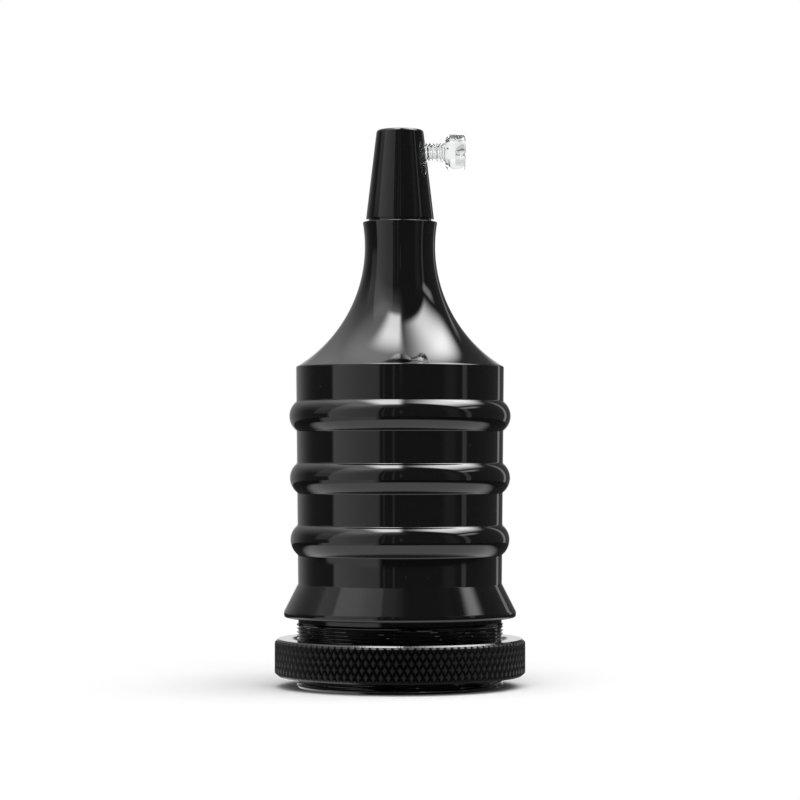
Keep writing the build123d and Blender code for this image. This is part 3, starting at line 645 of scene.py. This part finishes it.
def tube_outline(sizes):
    """Section of the threaded tube."""
    low, high, edge = sizes.tube_bottom, sizes.tube_top, 0.0004
    radius, bore = sizes.tube_radius, sizes.tube_bore_radius
    points = [(bore, low, 0.0), (radius - edge, low, 0.0)]
    points += threaded_run(radius, low + edge, high - edge, sizes.tube_pitch, rows=8, runout=0.5)
    points += [(radius - edge, high, 0.0), (bore, high, 0.0)]
    return points


def clamp_outline(sizes):
    """Section of the clear clamp screw, standing on its tip."""
    length, radius, head = sizes.screw_length, sizes.screw_radius, sizes.head_radius
    end = length + sizes.head_length
    neck, tip, plain, ledge = 0.0007, 0.0003, 0.0002, 0.0009
    under = head - ledge
    neck_reach, under_reach, side_reach, top_reach = 0.00015, 0.00025, 0.0003, 0.0009
    points = [(0.0, 0.0, 0.0), (radius - tip, 0.0, 0.0)]
    points += threaded_run(radius, tip, length - plain, sizes.screw_pitch, rows=12, runout=0.7)
    points += corner((radius, length), (radius, 0.0), (head, length), neck_reach, steps=3)
    points += corner((under, length), (0.0, length), (head, length + neck), under_reach, steps=4)
    points += corner((head, length + neck), (under, length), (head, end), side_reach, steps=4)
    points += corner((head, end), (head, 0.0), (0.0, end), top_reach, steps=9)
    points += [(0.0, end, 0.0)]
    return points


def sleeve_outline(sizes):
    """Section of the rolled sleeve: outside up, floor, inside down. The wave swells both faces alike."""
    rise, wall = sizes.thread_rise, sizes.wall
    thread_end = sizes.thread_start + sizes.pitch * sizes.turns
    runs = threaded_run(0.0, sizes.thread_start, thread_end, sizes.pitch, rows=14, runout=0.5)
    outer, top, roof = sizes.mean_radius + wall, sizes.top, sizes.top - wall
    inner = outer - wall
    outer_reach, inner_reach = 0.0005, 0.0002
    points = [(outer, sizes.bottom, 0.0)]
    points += [(outer + rise * weight, height, weight) for _, height, weight in runs]
    points += corner((outer, top), (outer, 0.0), (0.0, top), outer_reach, steps=4)
    points += [(sizes.floor_opening, top, 0.0), (sizes.floor_opening, roof, 0.0)]
    points += corner((inner, roof), (0.0, roof), (inner, 0.0), inner_reach, steps=2)
    points += [(inner + rise * weight, height, weight) for _, height, weight in reversed(runs)]
    points += [(inner, sizes.bottom, 0.0)]
    return points


# Pieces

def run_tree(name, points, tree, finish, **inputs):
    """Runs a Geometry Nodes tree on an outline and keeps its result as a plain mesh."""
    inputs["material"] = bpy.data.materials[finish]
    mesh = bpy.data.meshes.new(name + "_outline")
    mesh.from_pydata([(radius, 0.0, height) for radius, height, _ in points], [], [])
    weights = mesh.attributes.new("thread", "FLOAT", "POINT")
    weights.data.foreach_set("value", [weight for _, _, weight in points])
    piece = bpy.data.objects.new(name, mesh)
    bpy.context.scene.collection.objects.link(piece)
    modifier = piece.modifiers.new(tree.name, "NODES")
    modifier.node_group = tree
    for item in tree.interface.items_tree:
        label = item.name.lower().replace(" ", "_")
        if item.in_out == "INPUT" and label in inputs:
            modifier[item.identifier] = inputs[label]
    keep_result(piece, inputs["material"])
    piece.data.name = name
    return piece


def keep_result(piece, material):
    """Makes the result of a piece's modifier its own plain mesh, in one material and with no empty slot."""
    result = piece.evaluated_get(bpy.context.evaluated_depsgraph_get())
    made = bpy.data.meshes.new_from_object(result)
    piece.modifiers.clear()
    piece.data = made
    made.materials.clear()
    made.materials.append(material)
    made.polygons.foreach_set("material_index", [0] * len(made.polygons))


def take_place(piece, node, body):
    """Lets a finished piece stand for a CAD node on its body."""
    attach(piece, body)
    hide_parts(node)


def cut_away(piece, cutter):
    """Cuts a mesh out of a piece, which keeps its material, and removes the cutter."""
    modifier = piece.modifiers.new("Cut", "BOOLEAN")
    modifier.operation = "DIFFERENCE"
    modifier.solver = "EXACT"
    modifier.object = cutter
    keep_result(piece, piece.data.materials[0])
    bpy.data.objects.remove(cutter)


def prism(rings):
    """Corner points and faces of a closed prism between two rings of equal count."""
    count = len(rings[0])
    faces = [tuple(range(count))[::-1], tuple(range(count, 2 * count))]
    faces += [(step, (step + 1) % count, count + (step + 1) % count, count + step) for step in range(count)]
    return rings[0] + rings[1], faces


def circle(radius, count):
    """This many points round a circle."""
    turns = [2 * pi * step / count for step in range(count)]
    return [(radius * cos(turn), radius * sin(turn)) for turn in turns]


def plain_object(name, vertices, faces):
    """Object from bare points and faces."""
    mesh = bpy.data.meshes.new(name)
    mesh.from_pydata(vertices, [], faces)
    made = bpy.data.objects.new(name, mesh)
    bpy.context.scene.collection.objects.link(made)
    return made


# Finishes

def wear_group():
    """Soft smudges, fine dust and tiny pits on a finish, all in object space."""
    tree = new_tree("Handling Wear", "ShaderNodeTree", [
        ("Smudge Size", "INPUT", "Float", 90.0),
        ("Dust Size", "INPUT", "Float", 2600.0),
        ("Dust Amount", "INPUT", "Float", 0.2),
        ("Smudge", "OUTPUT", "Float", None),
        ("Dust", "OUTPUT", "Float", None),
        ("Height", "OUTPUT", "Float", None),
    ])
    source = add_node(tree, "NodeGroupInput").outputs
    place = add_node(tree, "ShaderNodeTexCoord").outputs["Object"]
    broad = add_node(tree, "ShaderNodeTexNoise", {
        "Vector": place, "Scale": source["Smudge Size"], "Detail": 5.0, "Roughness": 0.6, "Distortion": 0.6})
    smudge = stretch(tree, broad.outputs[0], 0.38, 0.68)
    grains = add_node(tree, "ShaderNodeTexVoronoi", {"Vector": place, "Scale": source["Dust Size"]})
    chance = add_node(tree, "ShaderNodeSeparateColor", {0: grains.outputs["Color"]})
    kept = maths(tree, "LESS_THAN", chance.outputs[0], source["Dust Amount"])
    speck_size, broad_share = 0.22, 4.0
    speck = product(tree, maths(tree, "LESS_THAN", grains.outputs["Distance"], speck_size), kept)
    fine = add_node(tree, "ShaderNodeTexNoise", {"Vector": place, "Scale": 1400.0, "Detail": 3.0})
    add_node(tree, "NodeGroupOutput", {
        "Smudge": smudge,
        "Dust": product(tree, speck, smudge),
        "Height": maths(tree, "MULTIPLY_ADD", broad.outputs[0], broad_share, fine.outputs[0]),
    })
    return tree


def turning_group():
    """Concentric tool marks of a lathe about the piece's Z axis."""
    tree = new_tree("Turning Marks", "ShaderNodeTree", [
        ("Fineness", "INPUT", "Float", 5200.0),
        ("Marks", "OUTPUT", "Float", None),
        ("Height", "OUTPUT", "Float", None),
    ])
    source = add_node(tree, "NodeGroupInput").outputs
    round_share = 0.5
    place = add_node(tree, "ShaderNodeTexCoord").outputs["Object"]
    x, y, z = add_node(tree, "ShaderNodeSeparateXYZ", {0: place}).outputs
    radius = maths(tree, "SQRT", maths(tree, "MULTIPLY_ADD", x, x, product(tree, y, y)))
    along = add_node(tree, "ShaderNodeCombineXYZ", {
        "X": product(tree, radius, source["Fineness"]),
        "Y": product(tree, maths(tree, "ARCTAN2", y, x), round_share),
        "Z": product(tree, z, source["Fineness"]),
    })
    marks = add_node(tree, "ShaderNodeTexNoise", {
        "Vector": along.outputs[0], "Scale": 1.0, "Detail": 4.0, "Roughness": 0.65})
    add_node(tree, "NodeGroupOutput", {
        "Marks": stretch(tree, marks.outputs[0], 0.35, 0.65),
        "Height": marks.outputs[0],
    })
    return tree


def new_material(name):
    """Empty material: its node tree and its shader, linked to the output."""
    material = bpy.data.materials.new(name)
    material.use_nodes = True
    tree = material.node_tree
    tree.nodes.clear()
    shader = add_node(tree, "ShaderNodeBsdfPrincipled")
    add_node(tree, "ShaderNodeOutputMaterial", {"Surface": shader.outputs[0]})
    return tree, shader


def use_group(tree, name, **values):
    """Places a shared node group with its own values."""
    made = add_node(tree, "ShaderNodeGroup", node_tree=bpy.data.node_groups[name])
    for key, value in values.items():
        made.inputs[key.replace("_", " ").title()].default_value = value
    return made.outputs


def dress_shader(tree, shader, colour, rough, height, strength, distance):
    """Feeds a shader's colour, roughness and relief."""
    bump = add_node(tree, "ShaderNodeBump", {"Strength": strength, "Distance": distance, "Height": height})
    tree.links.new(colour, shader.inputs["Base Color"])
    tree.links.new(rough, shader.inputs["Roughness"])
    tree.links.new(bump.outputs[0], shader.inputs["Normal"])


def opaque(colour, tint=(1.0, 1.0, 1.0)):
    """Opaque colour times a tint."""
    return (*(channel * share for channel, share in zip(colour, tint)), 1.0)


def finish_material(name, colour, metallic, roughness, spread, darker, marks, relief, fineness, dust,
                    shine=0.5):
    """Turned and handled finish. Smudges change its roughness by the spread, tool marks by the marks."""
    tree, shader = new_material(name)
    wear = use_group(tree, "Handling Wear", dust_amount=dust)
    lathe = use_group(tree, "Turning Marks", fineness=fineness)
    dust_colour, dust_cover, dust_rough = (0.32, 0.31, 0.29), 0.5, 0.25
    smudge_cover, lathe_height, wear_height = 0.6, 0.6, 0.08
    smudged = product(tree, wear["Smudge"], smudge_cover)
    toned = blend_colours(tree, smudged, opaque(colour), opaque(colour, 3 * [darker]))
    dusty = blend_colours(tree, product(tree, wear["Dust"], dust_cover), toned, opaque(dust_colour))
    rough = maths(tree, "MULTIPLY_ADD", wear["Smudge"], spread, roughness)
    rough = maths(tree, "MULTIPLY_ADD", lathe["Marks"], marks, rough)
    rough = maths(tree, "MULTIPLY_ADD", wear["Dust"], dust_rough, rough)
    height = product(tree, wear["Height"], wear_height)
    height = maths(tree, "MULTIPLY_ADD", lathe["Height"], lathe_height, height)
    dress_shader(tree, shader, dusty, rough, height, strength=relief, distance=0.00002)
    shader.inputs["Metallic"].default_value = metallic
    shader.inputs["Specular IOR Level"].default_value = shine


def clear_material(colour):
    """Clear moulded plastic with faint flow marks and a few scuffs."""
    tree, shader = new_material("clear_moulding")
    wear = use_group(tree, "Handling Wear", smudge_size=420.0, dust_amount=0.03)
    dimmed, polished, scuffed = 0.93, 0.005, 0.03
    tone = blend_colours(tree, wear["Smudge"], opaque(colour), opaque(colour, 3 * [dimmed]))
    rough = maths(tree, "MULTIPLY_ADD", wear["Smudge"], scuffed, polished)
    dress_shader(tree, shader, tone, rough, wear["Height"], strength=0.15, distance=0.000006)
    shader.inputs["Transmission Weight"].default_value = 1.0
    shader.inputs["IOR"].default_value = 1.49


def ceramic_material(colour):
    """White glazed ceramic with pin holes and a slightly wavy glaze."""
    tree, shader = new_material("glazed_ceramic")
    wear = use_group(tree, "Handling Wear", smudge_size=160.0, dust_size=1500.0, dust_amount=0.05)
    warm, pin_hole, hole_cover, glazed, dulled = (0.97, 0.95, 0.9), (0.35, 0.3, 0.24), 0.5, 0.12, 0.1
    tone = blend_colours(tree, wear["Smudge"], opaque(colour), opaque(colour, warm))
    pitted = blend_colours(tree, product(tree, wear["Dust"], hole_cover), tone, opaque(pin_hole))
    rough = maths(tree, "MULTIPLY_ADD", wear["Smudge"], dulled, glazed)
    dress_shader(tree, shader, pitted, rough, wear["Height"], strength=0.3, distance=0.00004)


# Softboxes and cards of the studio's tent: radiance and soft edges. Right and front are measured on the
# ceiling, as shares of its height. Turn and height are degrees round the object and over the horizon.

SOFTBOXES = (
    (12.5, (("right", -0.46, -0.2), ("right", 0.06, -0.04), ("front", 0.56, 0.42), ("front", -0.36, 0.14),
           ("height", 20.0, 30.0))),
    (1.5, (("right", -1.1, -0.35), ("right", 0.08, -0.03), ("front", 0.8, 0.4), ("front", -0.9, -0.2),
           ("height", 20.0, 30.0))),
    (13.0, (("right", -0.03, 0.5), ("right", 1.3, 0.55), ("front", 0.42, 0.24), ("front", -0.95, -0.3),
            ("height", 20.0, 30.0))),
    (0.8, (("right", 0.2, -0.2), ("front", 1.3, 0.5), ("height", 14.0, 52.0))),
    (3.0, (("right", 1.3, 1.5), ("right", 1.9, 1.6), ("front", -0.5, 0.0), ("front", 0.6, 0.35),
           ("height", 20.0, 30.0))),
    (0.55, (("turn", -82.0, -77.0), ("turn", -21.0, -24.0), ("height", -40.0, -30.0),
            ("height", 62.0, 50.0))),
    (0.40, (("turn", -21.0, -85.0), ("turn", -82.0, -77.0), ("height", -40.0, -30.0),
            ("height", 62.0, 50.0))),
    (0.35, (("turn", -104.0, -98.0), ("turn", -77.0, -82.0), ("height", 4.0, 12.0),
            ("height", 42.0, 26.0))),
    (0.3, (("turn", -8.5, -7.2), ("turn", -5.5, -6.5), ("height", -35.0, -25.0), ("height", 45.0, 30.0))),
    (0.2, (("turn", -19.2, -18.2), ("turn", -16.2, -17.2), ("height", -35.0, -25.0),
           ("height", 45.0, 30.0))),
    (0.3, (("turn", -1.0, 0.5), ("turn", 3.0, 1.5), ("height", 4.0, 9.0), ("height", 30.0, 20.0))),
    (0.12, (("turn", 46.0, 54.0), ("turn", 68.0, 60.0), ("height", -30.0, -20.0), ("height", 45.0, 30.0))),
    (0.55, (("turn", 72.0, 74.0), ("turn", 80.0, 78.0), ("height", -30.0, -20.0), ("height", 38.0, 26.0))),
    (0.7, (("turn", 138.0, 141.0), ("turn", 147.0, 144.5), ("height", -30.0, -20.0),
           ("height", 38.0, 26.0))),
    (0.25, (("turn", -110.0, -150.0), ("height", -30.0, -10.0), ("height", 75.0, 50.0))),
)

WHITE = (1.0, 1.0, 1.0, 1.0)
ROOM = 0.12  # radiance of the tent between the softboxes
AIM = (0.0, 0.0, 0.0565)  # where camera and key lamp look
KEY_PLACE, KEY_SIZE = (0.15, -0.7, 0.95), 1.2
CAMERA_PLACE, CAMERA_LENS = (0.0, -0.56, 0.04565), 127.5


# Operators

class LampHolderFinishes(bpy.types.Operator):
    """Make the finishes and give the fitted metal and ceramic parts theirs."""
    bl_idname = "lamp_holder.finishes"
    bl_label = "Finishes"

    def execute(self, context):
        colours = context.scene.lamp_studio
        wear_group()
        turning_group()
        finish_material("gloss_black", colours.black, metallic=0.0, roughness=0.035, spread=0.035,
                        darker=0.7, marks=0.02, relief=0.05, fineness=5200.0, dust=0.005)
        finish_material("knurled_black", colours.black, metallic=0.0, roughness=0.3, spread=0.08,
                        darker=0.7, marks=0.04, relief=0.1, fineness=5200.0, dust=0.01, shine=0.2)
        finish_material("plated_steel", colours.steel, metallic=1.0, roughness=0.24, spread=0.12,
                        darker=0.8, marks=0.12, relief=0.3, fineness=4200.0, dust=0.08)
        finish_material("plated_brass", colours.nickel, metallic=1.0, roughness=0.2, spread=0.1,
                        darker=0.8, marks=0.1, relief=0.25, fineness=4200.0, dust=0.05)
        finish_material("turned_brass", colours.brass, metallic=1.0, roughness=0.22, spread=0.14,
                        darker=0.75, marks=0.12, relief=0.3, fineness=4200.0, dust=0.05)
        clear_material(colours.clear)
        ceramic_material(colours.ceramic)
        slots = {
            "plated_steel": ["lock_washer", "shell_nut", "bridge_nut", "bridge", "bridge_screws",
                             "core_nuts", "earth_plate", "earth_screw"],
            "plated_brass": ["shell_rivets", "live_strap", "neutral_strap"],
            "turned_brass": ["contact_bush", "contact_plunger", "live_terminal", "neutral_terminal",
                             "live_screw", "neutral_screw"],
            "glazed_ceramic": ["ceramic_core"],
        }
        for finish, nodes in slots.items():
            for node in nodes:
                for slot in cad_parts[node].material_slots:
                    slot.material = bpy.data.materials[finish]
        return {"FINISHED"}


class LampHolderShell(bpy.types.Operator):
    """Turn the beaded shell with its threaded skirt."""
    bl_idname = "lamp_holder.shell"
    bl_label = "Shell"

    def execute(self, context):
        sizes = context.scene.lamp_shell
        piece = run_tree(
            "turned_shell", shell_outline(sizes), turned_tree(), "gloss_black", segments=240,
            thread_pitch=sizes.thread_pitch, thread_depth=sizes.thread_depth)
        take_place(piece, "shell", "housing")
        return {"FINISHED"}


class LampHolderRing(bpy.types.Operator):
    """Press the diamond knurl on the shade ring."""
    bl_idname = "lamp_holder.ring"
    bl_label = "Shade Ring"

    def execute(self, context):
        sizes = context.scene.lamp_ring
        steps = 4
        points, start = ring_outline(sizes, steps)
        root = sizes.radius - sizes.knurl_depth
        piece = run_tree(
            "knurled_ring", points, knurled_tree(), "gloss_black", segments=2 * steps * sizes.knurl_count,
            thread_pitch=RING_PITCH, thread_depth=RING_DEPTH, knurl_count=sizes.knurl_count,
            knurl_rise=sizes.knurl_rise, knurl_root=root, knurl_depth=sizes.knurl_depth, knurl_start=start,
            knurl_land=0.5, steps=steps, sharp_angle=radians(12))
        piece.data.materials.append(bpy.data.materials["knurled_black"])
        for face in piece.data.polygons:
            face.material_index = int(face.center.xy.length > root)
        take_place(piece, "shade_ring", "shade_ring_body")
        return {"FINISHED"}


class LampHolderGrip(bpy.types.Operator):
    """Turn the cord grip, drill its side hole and thread the tube under it."""
    bl_idname = "lamp_holder.grip"
    bl_label = "Cord Grip"

    def execute(self, context):
        sizes = context.scene.lamp_grip
        tree = bpy.data.node_groups["Turned Piece"]
        grip = run_tree("tapered_grip", grip_outline(sizes), tree, "gloss_black", segments=192)
        clearance, past = 0.00008, 0.002
        rim = circle(sizes.screw_radius + clearance, count=48)
        near, far = sizes.cable_radius / 2, sizes.base_radius + past
        rings = [[(x, y, sizes.screw_height + z) for y, z in rim] for x in (near, far)]
        cut_away(grip, plain_object("hole_cutter", *prism(rings)))
        smooth_cone(grip.data, sizes)
        take_place(grip, "cord_grip", "housing")
        tube = run_tree("threaded_neck_tube", tube_outline(sizes), tree, "plated_steel", segments=96,
                        thread_pitch=sizes.tube_pitch, thread_depth=0.00055)
        take_place(tube, "threaded_tube", "housing")
        return {"FINISHED"}


def smooth_cone(mesh, sizes):
    """Gives the drilled cone the even normals of a turned one."""
    lean = Vector((sizes.base_radius - sizes.top_radius, sizes.top_height - sizes.base_height)).normalized()
    past_edge, along_cone = 0.0003, 0.995
    low, high = sizes.base_height + past_edge, sizes.top_height - sizes.top_round
    normals = []
    for face in mesh.polygons:
        for loop in face.loop_indices:
            place = mesh.vertices[mesh.loops[loop].vertex_index].co
            turn = atan2(place.y, place.x)
            even = Vector((lean.y * cos(turn), lean.y * sin(turn), lean.x))
            on_cone = low < place.z < high and face.normal.dot(even) > along_cone
            normals.append(even if on_cone else mesh.corner_normals[loop].vector.copy())
    mesh.normals_split_custom_set(normals)


class LampHolderClampScrew(bpy.types.Operator):
    """Mould the clear clamp screw with its thread and cross recess."""
    bl_idname = "lamp_holder.clamp_screw"
    bl_label = "Clamp Screw"

    def execute(self, context):
        sizes = context.scene.lamp_grip
        piece = run_tree(
            "clear_clamp_screw", clamp_outline(sizes), bpy.data.node_groups["Turned Piece"], "clear_moulding",
            segments=96, thread_pitch=sizes.screw_pitch, thread_depth=0.0004, sharp_angle=radians(40))
        end = sizes.screw_length + sizes.head_length
        wide, thin, deep = sizes.recess_span / 2, sizes.recess_width / 2, sizes.recess_depth
        above, taper = 0.0005, tan(radians(12))
        cross = [(thin, thin), (thin, wide), (-thin, wide), (-thin, thin), (-wide, thin), (-wide, -thin),
                 (-thin, -thin), (-thin, -wide), (thin, -wide), (thin, -thin), (wide, -thin), (wide, thin)]
        rings = []
        for over in (-deep, above):
            grow = over * taper
            rings.append([
                (x + copysign(1, x) * grow, y + copysign(1, y) * grow, end + over) for x, y in cross])
        cut_away(piece, plain_object("cross_cutter", *prism(rings)))
        turn = Matrix(((0, 0, 1), (0, 1, 0), (-1, 0, 0))).to_4x4()
        spin = Matrix.Rotation(radians(18), 4, "Z")
        piece.data.transform(Matrix.Translation((sizes.screw_tip, 0.0, sizes.screw_height)) @ turn @ spin)
        take_place(piece, "clamp_screw", "clamp_screw_body")
        return {"FINISHED"}


class LampHolderSocket(bpy.types.Operator):
    """Roll the threaded sleeve that takes the lamp."""
    bl_idname = "lamp_holder.socket"
    bl_label = "Screw Shell"

    def execute(self, context):
        sizes = context.scene.lamp_socket
        piece = run_tree(
            "rolled_screw_shell", sleeve_outline(sizes), bpy.data.node_groups["Turned Piece"], "plated_brass",
            segments=144, thread_pitch=sizes.pitch, thread_depth=2 * sizes.thread_rise, rolled=1.0,
            sharp_angle=radians(40))
        take_place(piece, "screw_shell", "housing")
        return {"FINISHED"}


class LampHolderSpring(bpy.types.Operator):
    """Coil the contact spring."""
    bl_idname = "lamp_holder.spring"
    bl_label = "Contact Spring"

    def execute(self, context):
        sizes = context.scene.lamp_socket
        low, high = (point[2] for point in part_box("contact_spring"))
        wire = sizes.spring_wire
        piece = run_tree(
            "coiled_spring", [(0.0, 0.0, 0.0)], coil_tree(), "plated_steel", coil_radius=sizes.spring_radius,
            wire_radius=wire, turns=sizes.spring_turns, base_height=low + wire, rise=high - low - 2 * wire)
        take_place(piece, "contact_spring", "housing")
        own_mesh(piece)
        return {"FINISHED"}


class LampHolderStudio(bpy.types.Operator):
    """Set the floor, surround, lamps and camera."""
    bl_idname = "lamp_holder.studio"
    bl_label = "Studio"

    def execute(self, context):
        settings = context.scene.lamp_studio
        scene = context.scene
        scene.view_settings.view_transform = "Standard"
        self.make_surround(scene, settings)
        self.make_floor()
        middle = Vector(AIM)
        lamp = bpy.data.lights.new("soft_key", "AREA")
        lamp.size = KEY_SIZE
        lamp.energy = settings.key * pi * lamp.size**2
        key = bpy.data.objects.new("soft_key", lamp)
        key.location = KEY_PLACE
        key.rotation_euler = (key.location - middle).to_track_quat("Z", "Y").to_euler()
        key.visible_glossy = False
        scene.collection.objects.link(key)
        camera = bpy.data.objects.new("camera", bpy.data.cameras.new("camera"))
        camera.data.lens = CAMERA_LENS
        camera.data.clip_start = 0.01
        camera.location = CAMERA_PLACE
        camera.rotation_euler = (middle - camera.location).to_track_quat("-Z", "Y").to_euler()
        scene.collection.objects.link(camera)
        scene.camera = camera
        return {"FINISHED"}

    def make_surround(self, scene, settings):
        """White backdrop for the camera, and a dark tent with softboxes and side cards for gloss."""
        world = bpy.data.worlds.new("surround")
        scene.world = world
        world.use_nodes = True
        tree = world.node_tree
        tree.nodes.clear()
        direction = add_node(tree, "ShaderNodeTexCoord").outputs["Generated"]
        way = add_node(tree, "ShaderNodeSeparateXYZ", {0: direction}).outputs
        lowest = 0.05
        rise = largest(tree, way["Z"], lowest)
        toward = product(tree, way["Y"], -1.0)
        axes = {
            "right": maths(tree, "DIVIDE", way["X"], rise),
            "front": maths(tree, "DIVIDE", toward, rise),
            "turn": maths(tree, "DEGREES", maths(tree, "ARCTAN2", way["X"], toward)),
            "height": maths(tree, "DEGREES", maths(tree, "ARCSINE", way["Z"])),
        }
        room = ROOM
        for radiance, edges in SOFTBOXES:
            soft = (fade(tree, axes[axis], start, end) for axis, start, end in edges)
            room = maths(tree, "ADD", room, product(tree, radiance * settings.softboxes, *soft))
        level = maths(tree, "ABSOLUTE", axes["height"])
        round_back, up_back = (164.0, 177.0), (70.0, 50.0)
        backdrop = product(tree, fade(tree, maths(tree, "ABSOLUTE", axes["turn"]), *round_back),
                           fade(tree, level, *up_back))
        to_side, side_share, up_clear = (0.5, 0.85), 0.25, (34.0, 13.0)
        beside = fade(tree, maths(tree, "ABSOLUTE", way["X"]), *to_side)
        clear = product(tree, fade(tree, level, *up_clear), blend_numbers(tree, beside, 1.0, side_share))
        light = add_node(tree, "ShaderNodeLightPath").outputs
        white = largest(
            tree, light["Is Camera Ray"], product(tree, light["Is Glossy Ray"], backdrop),
            product(tree, light["Is Transmission Ray"], largest(tree, backdrop, clear)))
        sharp = largest(tree, light["Is Glossy Ray"], light["Is Transmission Ray"])
        dull = maths(tree, "MULTIPLY_ADD", room, settings.dull_share, settings.ambient)
        strength = blend_numbers(tree, white, blend_numbers(tree, sharp, dull, room), 1.0)
        shine = add_node(tree, "ShaderNodeBackground", {"Color": WHITE, "Strength": strength})
        add_node(tree, "ShaderNodeOutputWorld", {"Surface": shine.outputs[0]})

    def make_floor(self):
        """Pale floor that keeps the contact shadow, fades into the backdrop and glows with painted light:
        gloss sees it from below, and under the socket's mouth it lights dull surfaces.
        """
        reach, count = 0.3, 48
        vertices = [(0.0, 0.0, 0.0), *((x, y, 0.0) for x, y in circle(reach, count))]
        faces = [(0, 1 + step, 1 + (step + 1) % count) for step in range(count)]
        floor = plain_object("studio_floor", vertices, faces)
        tree, shader = new_material("studio_floor")
        shader.inputs["Base Color"].default_value = (0.86, 0.86, 0.86, 1.0)
        shader.inputs["Roughness"].default_value = 0.9
        shader.inputs["Specular IOR Level"].default_value = 0.1
        place = add_node(tree, "ShaderNodeTexCoord").outputs["Object"]
        away = add_node(tree, "ShaderNodeVectorMath", {0: place}, operation="LENGTH").outputs["Value"]
        mouth_edge = (0.0185, 0.0175)
        mouth = fade(tree, away, *mouth_edge)
        # Painted light on the floor: gloss sees it, and under the mouth it also lights dull surfaces.
        painted_light = painted_floor_light(tree, place, away, mouth)
        light = add_node(tree, "ShaderNodeLightPath").outputs
        sharp = largest(tree, light["Is Camera Ray"], light["Is Transmission Ray"])
        white = add_node(tree, "ShaderNodeEmission", {"Color": WHITE, "Strength": 1.0})
        # Emission of the painted light on the floor.
        painted_glow = add_node(tree, "ShaderNodeEmission", {"Color": WHITE, "Strength": painted_light})
        shadow_end = (0.03, 0.1)
        faded = product(tree, fade(tree, away, *shadow_end), sharp)
        shiny = largest(tree, light["Is Glossy Ray"], product(tree, light["Is Diffuse Ray"], mouth))
        backside = add_node(tree, "ShaderNodeNewGeometry").outputs["Backfacing"]
        behind = product(tree, light["Is Camera Ray"], backside)
        through = add_node(tree, "ShaderNodeBsdfTransparent")
        surface = shader.outputs[0]
        for share, layer in ((faded, white), (shiny, painted_glow), (behind, through)):
            surface = add_node(
                tree, "ShaderNodeMixShader", {0: share, 1: surface, 2: layer.outputs[0]}).outputs[0]
        output = next(node for node in tree.nodes if node.type == "OUTPUT_MATERIAL")
        tree.links.new(surface, output.inputs["Surface"])
        floor.data.materials.append(bpy.data.materials["studio_floor"])


def painted_floor_light(tree, place, away, mouth):
    """Painted light that gloss sees on the floor: a pool in front, a patch at the left side and a glow under
    the socket's mouth, with painted shade close to the foot in front.
    """
    spot = add_node(tree, "ShaderNodeSeparateXYZ", {0: place}).outputs
    toward = product(tree, spot["Y"], -1.0)
    turn = maths(tree, "DEGREES", maths(tree, "ARCTAN2", spot["X"], toward))
    # The front pool fades out close to the foot as painted shade; the left patch and the mouth glow are
    # painted light too.
    near_end, near_front, painted_shade_edge = (0.135, 0.1), (-0.05, -0.01), (0.022, 0.034)
    side_start, side_end = (-92.0, -82.0), (-18.0, -26.0)
    near_glow, side_glow, mouth_glow, even_glow = 1.35, 0.9, 0.8, 0.05
    near = product(tree, fade(tree, away, *near_end), fade(tree, toward, *near_front),
                   fade(tree, away, *painted_shade_edge), near_glow)
    beside = product(tree, fade(tree, turn, *side_start), fade(tree, turn, *side_end), side_glow)
    painted_light = largest(tree, near, beside, product(tree, mouth, mouth_glow))
    return maths(tree, "ADD", painted_light, even_glow)


class LampHolderPanel(bpy.types.Panel):
    """Lists the lamp holder's steps and sizes in the sidebar."""
    bl_idname = "VIEW3D_PT_lamp_holder"
    bl_label = "Lamp Holder"
    bl_space_type = "VIEW_3D"
    bl_region_type = "UI"
    bl_category = "Lamp Holder"

    def draw(self, context):
        for operator in OPERATORS:
            self.layout.operator(operator.bl_idname)
        for group in GROUPS:
            box = self.layout.box()
            box.label(text=group.removeprefix("lamp_").title())
            sizes = getattr(context.scene, group)
            for name in sizes.__annotations__:
                box.prop(sizes, name)


GROUPS = {
    "lamp_shell": ShellSizes,
    "lamp_ring": RingSizes,
    "lamp_grip": GripSizes,
    "lamp_socket": SocketSizes,
    "lamp_studio": StudioSettings,
}
OPERATORS = (
    LampHolderStudio,
    LampHolderFinishes,
    LampHolderShell,
    LampHolderRing,
    LampHolderGrip,
    LampHolderClampScrew,
    LampHolderSocket,
    LampHolderSpring,
)


def register():
    """Registers the classes and hangs the settings on the scene."""
    for name, group in GROUPS.items():
        bpy.utils.register_class(group)
        setattr(bpy.types.Scene, name, PointerProperty(type=group))
    for part in (*OPERATORS, LampHolderPanel):
        bpy.utils.register_class(part)


def unregister():
    """Takes the classes and settings away again."""
    for part in (LampHolderPanel, *reversed(OPERATORS)):
        bpy.utils.unregister_class(part)
    for name, group in GROUPS.items():
        delattr(bpy.types.Scene, name)
        bpy.utils.unregister_class(group)


def main():
    """Builds the whole scene."""
    register()
    bpy.ops.lamp_holder.studio()
    bpy.ops.lamp_holder.finishes()
    bpy.ops.lamp_holder.shell()
    bpy.ops.lamp_holder.ring()
    bpy.ops.lamp_holder.grip()
    bpy.ops.lamp_holder.clamp_screw()
    bpy.ops.lamp_holder.socket()
    bpy.ops.lamp_holder.spring()
    bpy.context.view_layer.update()


if __name__ == "__main__":
    main()
